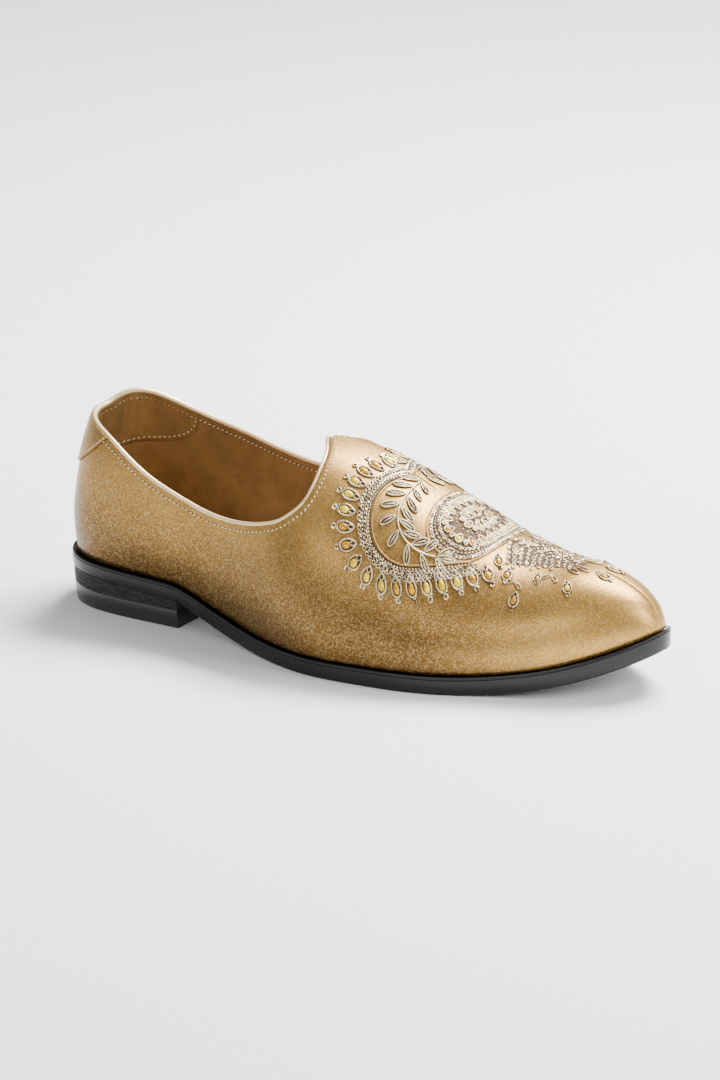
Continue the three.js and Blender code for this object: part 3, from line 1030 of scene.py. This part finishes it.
# Outsole's section from the middle of its top to the middle of its underside:
# inset from the outline, share of the thickness measured from the top, drop below that
SOLE_SECTION = (
    (9.0, 0, 0.1),
    (4.6, 0, 0.1),
    (3.3, 0, 0.55),
    (2.4, 0, 0.55),
    (1.9, 0, 0.2),
    (0.95, 0, 0.12),
    (0.6, 0, -0.12),
    (0.25, 0, -0.02),
    (0.04, 0, 0.3),
    (0.02, 0, 0.75),
    (0.3, 0, 1.0),
    (0.3, 0, 1.2),
    (0.0, 0, 1.5),
    (0.0, 0.45, 0),
    (0.05, 1, -0.8),
    (0.2, 1, -0.3),
    (0.6, 1, 0),
    (1.5, 1, 0),
    (6.0, 1, 0),
    (6.4, 1, -0.5),
    (7.2, 1, -0.5),
    (7.6, 1, 0),
    (9.0, 1, 0),
)
SOLE_STATIONS = 300
TREAD_INSET = 1.5
END_CLOSING = 40
HEEL_ROUND = 0.82
HEEL_INSET = 0.5


def make_outsole():
    """Closed body along the outline: the section on the lateral side, a strip across the
    underside, the section on the medial side and a strip across the top."""
    lateral = [(-1.0, *row) for row in SOLE_SECTION]
    medial = [(1.0, *row) for row in reversed(SOLE_SECTION)]
    ring = np.array([*lateral, *medial, lateral[0]])

    def place(u, v):
        row = ring[np.rint(v * (len(ring) - 1)).astype(int)]
        angle = u * math.pi
        closing = np.minimum(row[:, 1], np.sin(angle) * END_CLOSING)
        inset = np.where(row[:, 1] > TREAD_INSET, closing, row[:, 1])
        plan = inset_point(row[:, 0], angle, inset)
        top, bottom = sole_top(plan[:, 0]), underside(plan[:, 0])
        z = top + (bottom - top) * row[:, 2] - row[:, 3]
        return np.concatenate([plan, z[:, None]], 1)
    bm = grid_mesh(SOLE_STATIONS, len(ring) - 1, place)
    bmesh.ops.recalc_face_normals(bm, faces=bm.faces)
    piece = finish_mesh("outsole_body", bm, SOLE_BLACK, "sole", sharp=True)
    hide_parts("outsole")


def heel_ring(u, inset):
    """Plan of the heel: round the back from the lateral to the medial breast, then across."""
    breast = angle_of((BREAST_X - HEEL_INSET) / LENGTH)
    w = np.clip(2 * u / HEEL_ROUND - 1, -1, 1)
    side = np.where(w < 0, -1.0, 1.0)
    plan = inset_point(side, np.abs(w) * breast, inset)
    ends = [inset_point(end, breast, inset.max()) for end in (1.0, -1.0)]
    share = np.clip((u - HEEL_ROUND) / (1 - HEEL_ROUND), 0, 1)
    across = blend(ends[0], ends[1], share[:, None])
    plan = np.where((u > HEEL_ROUND)[:, None], across, plan)
    plan[:, 0] = np.minimum(plan[:, 0], BREAST_X - HEEL_INSET - inset * 0.3)
    return plan


def heel_body(name, levels, low, high, material, slot, node):
    """Closed layer of the heel. Levels are rows of share of the height, inset."""
    levels = np.array(levels)

    def place(u, v):
        share = np.interp(v, np.linspace(0, 1, len(levels)), levels[:, 0])
        inset = np.interp(v, np.linspace(0, 1, len(levels)), levels[:, 1])
        plan = np.array([heel_ring(u[i:i + 1], inset[i:i + 1])[0] for i in range(len(u))])
        z = blend(low(plan[:, 0]), high(plan[:, 0]), share)
        return np.concatenate([plan, z[:, None]], 1)
    bm = grid_mesh(150, len(levels) - 1, place)
    close_holes(bm)
    piece = finish_mesh(name, bm, material, slot, sharp=True)
    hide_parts(node)


LIFT_THICKNESS = 8.8
STACK_LAYERS = 4
LAYER_GROOVE = 0.14


def stack_levels():
    rows = [(0, 1.1), (0.02, 0.9)]
    for layer in range(1, STACK_LAYERS):
        share = layer / STACK_LAYERS
        inset = 0.9 - 0.4 * share
        rows += [(share - 0.05, inset), (share, inset + LAYER_GROOVE), (share + 0.05, inset)]
    return [*rows, (0.98, 0.5), (1, 0.7)]


def make_heel():
    heel_body("heel_stack_body", stack_levels(), lambda x: LIFT_THICKNESS + 0.1 + 0 * x,
              lambda x: underside(x) - 0.1, STACK_BLACK, "heel_stack", "heel_stack")
    lift_levels = [(0, 2.3), (0.03, 1.9), (0.09, 1.65), (0.5, 1.3), (0.95, 1.0), (1, 1.15)]
    heel_body("top_lift_body", lift_levels, lambda x: 0 * x, lambda x: LIFT_THICKNESS + 0 * x,
              LIFT_BLACK, "top_lift", "heel_top_lift")


INSOLE_INSET = 4.9
INSOLE_RISE = 2.9


def make_insole():
    def place(u, v):
        angle = u * math.pi
        inset = np.full(len(u), INSOLE_INSET)
        ends = [inset_point(np.full(len(u), side), angle, inset) for side in (-1.0, 1.0)]
        plan = blend(ends[0], ends[1], v[:, None])
        middle = np.sin(math.pi * v) ** 0.6 * np.sin(angle) ** 0.5
        z = sole_top(plan[:, 0]) + 0.35 + INSOLE_RISE - 0.7 * middle
        return np.concatenate([plan, z[:, None]], 1)
    piece = finish_mesh("insole_sock", grid_mesh(160, 24, place), INSOLE, "insole")
    thicken(piece, INSOLE_RISE - 0.8, -1)
    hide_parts("insole")


make_upper()
make_lining()
make_grip()
make_edge()
make_tab()
make_stitches()
make_outsole()
make_heel()
make_insole()

# ---------------------------------------------------------------- embroidery on the vamp

# Lines of the design in the vamp's chart on its lateral half: x along the shoe, t round the
# section. The medial half is its mirror image.
PETAL_LINE = ((163.0, -1), (159.0, -14), (158.8, -28), (162.5, -46), (172, -58), (184, -60.3),
              (198, -54.5), (213, -42), (226.5, -27.5))
BAND_LINE = ((171.8, -0.5), (168.2, -12), (166.8, -25), (169.6, -39), (176.8, -49), (187.6, -51.8),
             (199.5, -46.8), (210.5, -37.8), (221, -27.5))
PIPING_LINE = ((175.4, -0.5), (171.8, -12), (170.4, -25), (172.9, -37.2), (179.2, -45.8), (188, -48.1),
               (198, -43.6), (208.2, -35.3), (218, -26))
STEM_LINE = ((178.5, -1.5), (179.0, -11), (179.6, -20), (182.0, -29.5), (188, -35.8), (196, -37.3),
             (204.5, -34.5))

# Heights over the leather: a plate of painted shade, a stone, a petal's wire, other wires, a wire on top, a
# cord
SHADE_PLATE_LIFT = 0.15
STONE_LIFT = 0.2
PETAL_LIFT = 0.385
WIRE_LIFT = 0.55
CUP_LIFT = 0.75
CORD_LIFT = 0.3
RING_LIFT = 0.42

WIRE = 0.42
FINE_WIRE = 0.3
PETAL_WIRE = 0.5
PETAL_PITCH = 7.6
PETAL_LENGTH = 8.4
PETAL_WIDTH = 5.9
PETAL_TIP = 0.45
SPRAY_TIP = 0.6
# Places along a petal from its middle: its base, stone, inner cup, tip ring and two grains
PETAL_BASE = -4.7
PETAL_STONE = -2.2
PETAL_CUP = -4.9
PETAL_RING = 4.9
PETAL_GRAINS = 3.0
GRAIN_ASIDE = 1.35
YELLOW_PETALS = (0, 3, 4)


def both_sides(points):
    return [Strand(points), Strand(points, mirror=True)]


def side_of(strand):
    """1 where the outside of the design is to the strand's left, -1 to its right."""
    return 1 if strand.points[-1, 1] > 0 else -1


def ahead(x, t, turn, far):
    return x + far * math.cos(turn), t + far * math.sin(turn)


def drop_ring(length, width, tip, around=18, thickness=WIRE):
    return wire_loop(leaf_outline(length, width, tip), around, thickness)


def stone_shape(length, width, height):
    """Domed drop stone, rounder towards its far end, with a flat girdle."""
    bm = bmesh.new()
    bmesh.ops.create_uvsphere(bm, u_segments=10, v_segments=7, radius=1)
    bmesh.ops.scale(bm, vec=(length / 2, width / 2, height), verts=bm.verts)
    for vert in bm.verts:
        vert.co.y *= 0.72 + 0.28 * smooth_step(vert.co.x / length + 0.5)
        vert.co.z = max(vert.co.z, -0.1)
    bmesh.ops.translate(bm, vec=(length / 2, 0, 0), verts=bm.verts)
    return shape_of(bm)


def plate_shape(length, width, tip, grow):
    """Thin plate of painted shade under a drop ring, reaching a little past it."""
    bm = bmesh.new()
    bmesh.ops.create_circle(bm, cap_ends=True, cap_tris=True, segments=14, radius=1)
    outline_of = leaf_outline(length + 2 * grow, width + 2 * grow, tip)
    for vert in bm.verts:
        if vert.co.length > 0.5:
            x, y = outline_of(math.atan2(vert.co.y, vert.co.x))
            vert.co = Vector((x - grow, y, 0))
        else:
            vert.co = Vector((length / 2, 0, 0.1))
    return shape_of(bm)


RING = shape_of(wire_ring(9, WIRE))
GRAIN = ball(0.85)
PETAL_CUP_WIRE = drop_ring(3.0, 2.3, 0.4, around=12, thickness=FINE_WIRE)


class Motifs:
    """Small meshes laid on the vamp and joined by piece: a mesh, material and slot for each name."""

    def __init__(self, **pieces):
        self.pieces = pieces
        self.places = {name: [] for name in pieces}

    def lay(self, name, x, t, turn, **how):
        self.places[name].append(on_chart(self.pieces[name][0], x, t, turn, **how))

    def join(self):
        for name, (mesh, material, slot) in self.pieces.items():
            repeat(name, mesh, self.places[name], material, slot)


def make_petals():
    stone = stone_shape(5.0, 3.9, 0.95)
    motifs = Motifs(
        petal_painted_shade=(plate_shape(PETAL_LENGTH, PETAL_WIDTH, PETAL_TIP, 0.75), PAINTED_SHADE, "silver_thread"),
        petal_wires=(drop_ring(PETAL_LENGTH, PETAL_WIDTH, PETAL_TIP, thickness=PETAL_WIRE), SILVER,
                     "silver_thread"),
        petal_cups=(PETAL_CUP_WIRE, SILVER, "silver_thread"),
        petal_rings=(RING, BEADS, "beads"),
        petal_grains=(ball(0.8), BEADS, "beads"),
        amber_petal_stones=(stone, AMBER, "stones"),
        yellow_petal_stones=(stone, YELLOW, "stones"),
    )
    for strand in both_sides(PETAL_LINE):
        for number, distance in enumerate(strand.steps(PETAL_PITCH, 1.5)):
            x, t, turn = strand.at(distance)
            turn += side_of(strand) * math.pi / 2
            base = ahead(x, t, turn, PETAL_BASE)
            color = "yellow" if number % 5 in YELLOW_PETALS else "amber"
            motifs.lay("petal_painted_shade", *base, turn, lift=SHADE_PLATE_LIFT)
            motifs.lay("petal_wires", *base, turn, lift=PETAL_LIFT)
            motifs.lay(color + "_petal_stones", *ahead(x, t, turn, PETAL_STONE), turn, lift=STONE_LIFT)
            motifs.lay("petal_cups", *ahead(x, t, turn, PETAL_CUP), turn, lift=CUP_LIFT)
            motifs.lay("petal_rings", *ahead(x, t, turn, PETAL_RING), turn, size=1.05, lift=RING_LIFT)
            beyond = ahead(x, t, turn, PETAL_GRAINS)
            for aside in (-1, 1):
                spot = ahead(*beyond, turn + aside * math.pi / 2, GRAIN_ASIDE)
                motifs.lay("petal_grains", *spot, turn, size=0.55, lift=0.35)
    motifs.join()


# Rows of the beaded band: off to the outside, pitch, shift along, size, piece
BAND_ROWS = (
    (2.3, 1.95, 0.0, 0.80, "band_rings"),
    (0.85, 1.7, 0.9, 0.62, "band_grains"),
    (-0.5, 1.95, 0.5, 0.78, "band_rings"),
    (-1.9, 1.6, 0.0, 0.60, "band_grains"),
)
BEAD_SHAPE = (1.15, 0.92, 1)
BEAD_STRAY = 0.12
BEAD_TURN = 0.5
SHADE_STRIP_WIDTH = 3.1
SHADE_STRIP_FLAT = 0.06


def make_band():
    dice = np.random.default_rng(7)
    motifs = Motifs(band_rings=(RING, BEADS, "beads"), band_grains=(GRAIN, SILVER, "silver_thread"))
    for strand in both_sides(BAND_LINE):
        out = side_of(strand)
        for off, pitch, shift, size, name in BAND_ROWS:
            for distance in strand.steps(pitch, shift):
                stray = dice.uniform(-BEAD_STRAY, BEAD_STRAY)
                x, t, turn = strand.beside(distance, out * (off + stray))
                spin = turn + dice.uniform(-BEAD_TURN, BEAD_TURN)
                motifs.lay(name, x, t, spin, size=size * dice.uniform(0.92, 1.06), lift=size * 0.5,
                           shape=BEAD_SHAPE)
    motifs.join()
    cord_on_chart("band_piping", both_sides(PIPING_LINE), WIRE, CORD_GOLD, "silver_thread", CORD_LIFT)
    # Flat strip of painted shade under the band's beads.
    cord_on_chart("band_painted_shade", both_sides(BAND_LINE), SHADE_STRIP_WIDTH, PAINTED_SHADE, "silver_thread", 0.0,
                  sides=14, flat=SHADE_STRIP_FLAT)


LEAF_PITCH = 6.2
LEAF_LENGTH = 8.6
LEAF_WIDTH = 3.3
LEAF_SPREAD = math.radians(56)
LEAF_OFF = 0.9
LEAF_STAGGER = 0.6
VEIN_START = 1.1
VEIN_WIDTH = 0.36
LEAF_WIRE = drop_ring(LEAF_LENGTH, LEAF_WIDTH, PETAL_TIP, around=22)


def vein_shape(length):
    bm = bmesh.new()
    bmesh.ops.create_uvsphere(bm, u_segments=6, v_segments=6, radius=1)
    bmesh.ops.rotate(bm, verts=bm.verts, cent=(0, 0, 0), matrix=Matrix.Rotation(math.pi / 2, 3, "Y"))
    bmesh.ops.scale(bm, vec=(length / 2, VEIN_WIDTH, VEIN_WIDTH), verts=bm.verts)
    bmesh.ops.translate(bm, vec=(length / 2, 0, 0), verts=bm.verts)
    return shape_of(bm)


def make_sprigs():
    motifs = Motifs(
        sprig_painted_shade=(plate_shape(LEAF_LENGTH, LEAF_WIDTH, PETAL_TIP, 0.6), PAINTED_SHADE, "silver_thread"),
        sprig_leaves=(LEAF_WIRE, SILVER, "silver_thread"),
        sprig_veins=(vein_shape(LEAF_LENGTH - 2 * VEIN_START), SILVER, "silver_thread"),
    )
    for strand in both_sides(STEM_LINE):
        for number, distance in enumerate(strand.steps(LEAF_PITCH, 2.0)):
            for aside in (-1, 1):
                size = 0.8 if aside * side_of(strand) < 0 and number < 2 else 1.0
                x, t, turn = strand.beside(distance + aside * LEAF_STAGGER, aside * LEAF_OFF)
                turn += aside * LEAF_SPREAD
                motifs.lay("sprig_leaves", x, t, turn, size=size, lift=WIRE_LIFT)
                motifs.lay("sprig_painted_shade", x, t, turn, size=size, lift=SHADE_PLATE_LIFT)
                motifs.lay("sprig_veins", *ahead(x, t, turn, VEIN_START), turn, size=size,
                           lift=WIRE_LIFT * 0.9)
        x, t, turn = strand.at(strand.length)
        motifs.lay("sprig_leaves", x, t, turn, lift=WIRE_LIFT)
        motifs.lay("sprig_veins", *ahead(x, t, turn, VEIN_START), turn, lift=WIRE_LIFT)
    motifs.join()
    cord_on_chart("sprig_stems", both_sides(STEM_LINE), 0.5, SILVER, "silver_thread", 0.35)


MEDALLION_X = 206
MEDALLION_LENGTH = 15.3
MEDALLION_WIDTH = 30.3
MEDALLION_POWER = 2.5
MEDALLION_SHADE_SCALE = 1.06
# Rows inside the medallion: scale of its rim, pitch, kind
MEDALLION_ROWS = (
    (0.97, 1.9, "rings"),
    (0.885, 1.7, "grains"),
    (0.80, 2.0, "rings"),
    (0.62, 5.6, "stones"),
    (0.44, 2.1, "grains"),
    (0.26, 5.0, "stones"),
    (0.10, 2.4, "rings"),
)
CUP_BACK = -2.2
CUP_STONE = 1.1
LOOP_ASIDE = 2.0
LOOP_TURN = 0.75

SPRAY_START = 222.5
SPRAY_END = 262
SPRAY_WIDTH = 17
SPRAY_NARROWING = 0.8
SPRAY_SLANT = 0.45
SPRAY_ROWS = 12
SPRAY_PITCH = 3.1
SPRAY_BEADS = 1.75
# Drops of the spray on the lateral side: x, t, direction in degrees, size, stone
SPRAY = (
    (224.0, -14.5, -50, 0.85, "amber"),
    (232.5, -19.0, -75, 0.85, "amber"),
    (245.2, -15.5, -70, 0.68, "amber"),
    (241.5, -29.6, -86, 0.85, "amber"),
    (260.2, -16.6, -60, 0.8, "yellow"),
    (268.8, -4.2, -8, 0.85, "amber"),
    (226.0, -4.0, -30, 0.7, "yellow"),
)
# Its bare leaves: x, t, direction, size
SPRAY_LEAVES = (
    (238.0, -24.6, -150, 0.55),
    (238.6, -24.6, -35, 0.55),
    (251.5, -14.6, -140, 0.6),
    (252.0, -14.8, -40, 0.6),
    (229.0, -24.0, -110, 0.6),
    (256.0, -7.0, -25, 0.8),
    (259.0, -4.2, -15, 0.8),
)


def medallion_strand(scale):
    """Closed line round the medallion, smaller than its rim by a scale."""
    turn = np.linspace(0, math.tau, 41)
    power = 2 / MEDALLION_POWER
    x = MEDALLION_X + scale * MEDALLION_LENGTH * np.sign(np.cos(turn)) * np.abs(np.cos(turn)) ** power
    t = scale * MEDALLION_WIDTH * np.sign(np.sin(turn)) * np.abs(np.sin(turn)) ** power
    return Strand(np.stack([x, t], -1))


def sheet_on_chart(name, across, down, spot):
    """Thin sheet of painted shade over a region of the chart, its rim drawn down into the leather."""
    def place(u, v):
        x, t, rim = spot(u, v)
        return vamp_lifted(x, t, 0.16 - 0.5 * smooth_step((rim - 0.9) * 10))
    bm = grid_mesh(across, down, place)
    bmesh.ops.remove_doubles(bm, verts=bm.verts, dist=1e-6)
    bmesh.ops.recalc_face_normals(bm, faces=bm.faces)
    finish_mesh(name, bm, PAINTED_SHADE, "silver_thread")


def medallion_spot(u, v):
    """Place on the medallion's sheet of painted shade: round it and out from its middle."""
    strand = medallion_strand(1.0)
    x, t = (np.interp(u * strand.length, strand.far, strand.points[:, side]) for side in (0, 1))
    return MEDALLION_X + (x - MEDALLION_X) * v * MEDALLION_SHADE_SCALE, t * v * MEDALLION_SHADE_SCALE, v


def spray_spot(u, v):
    """Place on the spray's sheet of painted shade: along the shoe and across the crest."""
    off = 2 * v - 1
    width = (SPRAY_WIDTH + 1) * np.clip(1 - u, 0, 1) ** SPRAY_NARROWING
    x = SPRAY_START - 1 + (SPRAY_END - SPRAY_START + 1) * u
    edge = np.maximum(np.abs(off), np.abs(2 * u - 1))
    return x + SPRAY_SLANT * np.abs(off) * width, off * width, edge


def make_medallion():
    dice = np.random.default_rng(11)
    stone = stone_shape(3.8, 2.9, 0.85)
    motifs = Motifs(
        medallion_rings=(RING, BEADS, "beads"),
        medallion_grains=(GRAIN, SILVER, "silver_thread"),
        medallion_cups=(drop_ring(5.2, 3.8, SPRAY_TIP), SILVER, "silver_thread"),
        medallion_loops=(drop_ring(3.2, 1.7, 0.5, around=12, thickness=FINE_WIRE), SILVER, "silver_thread"),
        medallion_amber_stones=(stone, AMBER, "stones"),
        medallion_yellow_stones=(stone, YELLOW, "stones"),
    )
    for scale, pitch, kind in MEDALLION_ROWS:
        strand = medallion_strand(scale)
        for number, distance in enumerate(strand.steps(pitch)[:-1]):
            x, t, turn = strand.at(distance)
            if kind == "stones":
                turn -= math.pi / 2
                base = ahead(x, t, turn, CUP_BACK)
                color = "yellow" if number % 3 == 1 else "amber"
                motifs.lay("medallion_cups", *base, turn, lift=WIRE_LIFT * 0.8)
                motifs.lay(f"medallion_{color}_stones", *ahead(*base, turn, CUP_STONE), turn, lift=STONE_LIFT)
                for aside in (-1, 1):
                    spot = strand.at(distance + aside * LOOP_ASIDE)[:2]
                    motifs.lay("medallion_loops", *spot, turn + aside * LOOP_TURN, lift=0.7)
            else:
                size = dice.uniform(0.68, 0.8) * (1 if kind == "rings" else 0.8)
                spin = turn + dice.uniform(-BEAD_TURN, BEAD_TURN)
                motifs.lay("medallion_" + kind, x, t, spin, size=size, lift=size * 0.55, shape=(1.1, 0.95, 1))
    motifs.join()
    sheet_on_chart("medallion_painted_shade", 64, 14, medallion_spot)
    cord_on_chart("medallion_piping", [medallion_strand(1.05)], WIRE, CORD_GOLD, "silver_thread", CORD_LIFT)


def lay_spray_rows(motifs, mirror, dice):
    """Slanted rows of beads that narrow towards the toe, and every third row of small loops."""
    for row in range(SPRAY_ROWS):
        x = SPRAY_START + row * SPRAY_PITCH
        share = (x - SPRAY_START) / (SPRAY_END - SPRAY_START)
        width = SPRAY_WIDTH * (1 - share) ** SPRAY_NARROWING
        for number, far in enumerate(np.arange(0.8, width, SPRAY_BEADS)):
            spot = (x + SPRAY_SLANT * far + dice.uniform(-0.2, 0.2),
                    -mirror * (far + dice.uniform(-0.2, 0.2)))
            turn = -mirror * math.radians(66) + dice.uniform(-0.3, 0.3)
            if row % 3 == 1:
                if number % 2 == 0:
                    motifs.lay("spray_loops", *spot, turn, lift=0.5)
            elif (row + number) % 2:
                motifs.lay("spray_rings", *spot, turn, size=0.72, lift=0.4)
            else:
                motifs.lay("spray_grains", *spot, turn, size=0.66, lift=0.35)


def make_spray():
    dice = np.random.default_rng(3)
    stone = stone_shape(4.7, 3.5, 0.95)
    motifs = Motifs(
        spray_painted_shade=(plate_shape(PETAL_LENGTH, PETAL_WIDTH, SPRAY_TIP, 0.7), PAINTED_SHADE, "silver_thread"),
        spray_rings=(RING, BEADS, "beads"),
        spray_grains=(GRAIN, SILVER, "silver_thread"),
        spray_wires=(drop_ring(PETAL_LENGTH, PETAL_WIDTH, SPRAY_TIP), SILVER, "silver_thread"),
        spray_cups=(PETAL_CUP_WIRE, SILVER, "silver_thread"),
        spray_loops=(drop_ring(3.4, 1.7, 0.5, around=12, thickness=0.32), SILVER, "silver_thread"),
        spray_leaves=(LEAF_WIRE, SILVER, "silver_thread"),
        spray_amber_stones=(stone, AMBER, "stones"),
        spray_yellow_stones=(stone, YELLOW, "stones"),
    )
    sheet_on_chart("spray_painted_shade_sheet", 30, 20, spray_spot)
    for mirror in (1, -1):
        for x, t, degrees, size, color in SPRAY:
            turn = mirror * math.radians(degrees)
            spot = (x, mirror * t, turn)
            motifs.lay("spray_wires", *spot, size=size, lift=PETAL_LIFT)
            motifs.lay("spray_painted_shade", *spot, size=size, lift=STONE_LIFT)
            motifs.lay(f"spray_{color}_stones", *ahead(*spot, 2.4 * size), turn, size=size, lift=STONE_LIFT)
            motifs.lay("spray_cups", *ahead(*spot, -0.1 * size), turn, size=size, lift=CUP_LIFT)
            motifs.lay("spray_rings", *ahead(*spot, 9.3 * size), turn, size=size, lift=RING_LIFT)
        for x, t, degrees, size in SPRAY_LEAVES:
            motifs.lay("spray_leaves", x, mirror * t, mirror * math.radians(degrees), size=size, lift=0.45)
        lay_spray_rows(motifs, mirror, dice)
    motifs.join()


make_petals()
make_band()
make_sprigs()
make_medallion()
make_spray()

# ---------------------------------------------------------------- studio

VIEW_TURN = math.radians(32)
VIEW_RISE = math.radians(18.9)
VIEW_ROLL = math.radians(-0.8)
VIEW_DISTANCE = 2.523
LENS = 190


def make_camera():
    back = Vector((math.sin(VIEW_TURN) * math.cos(VIEW_RISE), -math.cos(VIEW_TURN) * math.cos(VIEW_RISE),
                   math.sin(VIEW_RISE)))
    right = Vector((math.cos(VIEW_TURN), math.sin(VIEW_TURN), 0))
    up = back.cross(right)
    target = (cad_low + cad_high) / 2
    turned = Matrix((right, up, back)).transposed() @ Matrix.Rotation(VIEW_ROLL, 3, "Z")
    camera = bpy.data.objects.new("camera", bpy.data.cameras.new("camera"))
    camera.data.lens = LENS
    camera.matrix_world = Matrix.Translation(target + back * VIEW_DISTANCE) @ turned.to_4x4()
    bpy.context.scene.collection.objects.link(camera)
    bpy.context.scene.camera = camera


def add_light(name, place, aim, size, power):
    light = bpy.data.objects.new(name, bpy.data.lights.new(name, "AREA"))
    light.data.shape = "RECTANGLE"
    light.data.size, light.data.size_y = size
    light.data.energy = power
    light.location = place
    light.rotation_euler = (Vector(aim) - Vector(place)).to_track_quat("-Z", "Y").to_euler()
    bpy.context.scene.collection.objects.link(light)


def make_studio():
    bm = bmesh.new()
    bmesh.ops.create_grid(bm, x_segments=2, y_segments=2, size=6)
    mesh = bpy.data.meshes.new("floor")
    bm.to_mesh(mesh)
    bm.free()
    mesh.materials.append(studio_floor())
    floor = bpy.data.objects.new("floor", mesh)
    bpy.context.scene.collection.objects.link(floor)
    add_light("overhead", (0.15, 0.75, 1.15), (0, 0, 0), (0.9, 0.5), 75)
    add_light("toe_side", (1.3, 0.2, 0.7), (0.05, 0, 0.03), (0.5, 0.8), 18)
    add_light("front", (0.1, -1.6, 0.8), (0, 0, 0.03), (1.2, 0.3), 10)
    world = bpy.data.worlds.new("studio")
    world.use_nodes = True
    background = world.node_tree.nodes["Background"]
    background.inputs["Color"].default_value = (1, 1, 1, 1)
    background.inputs["Strength"].default_value = 0.5
    bpy.context.scene.world = world


make_camera()
make_studio()
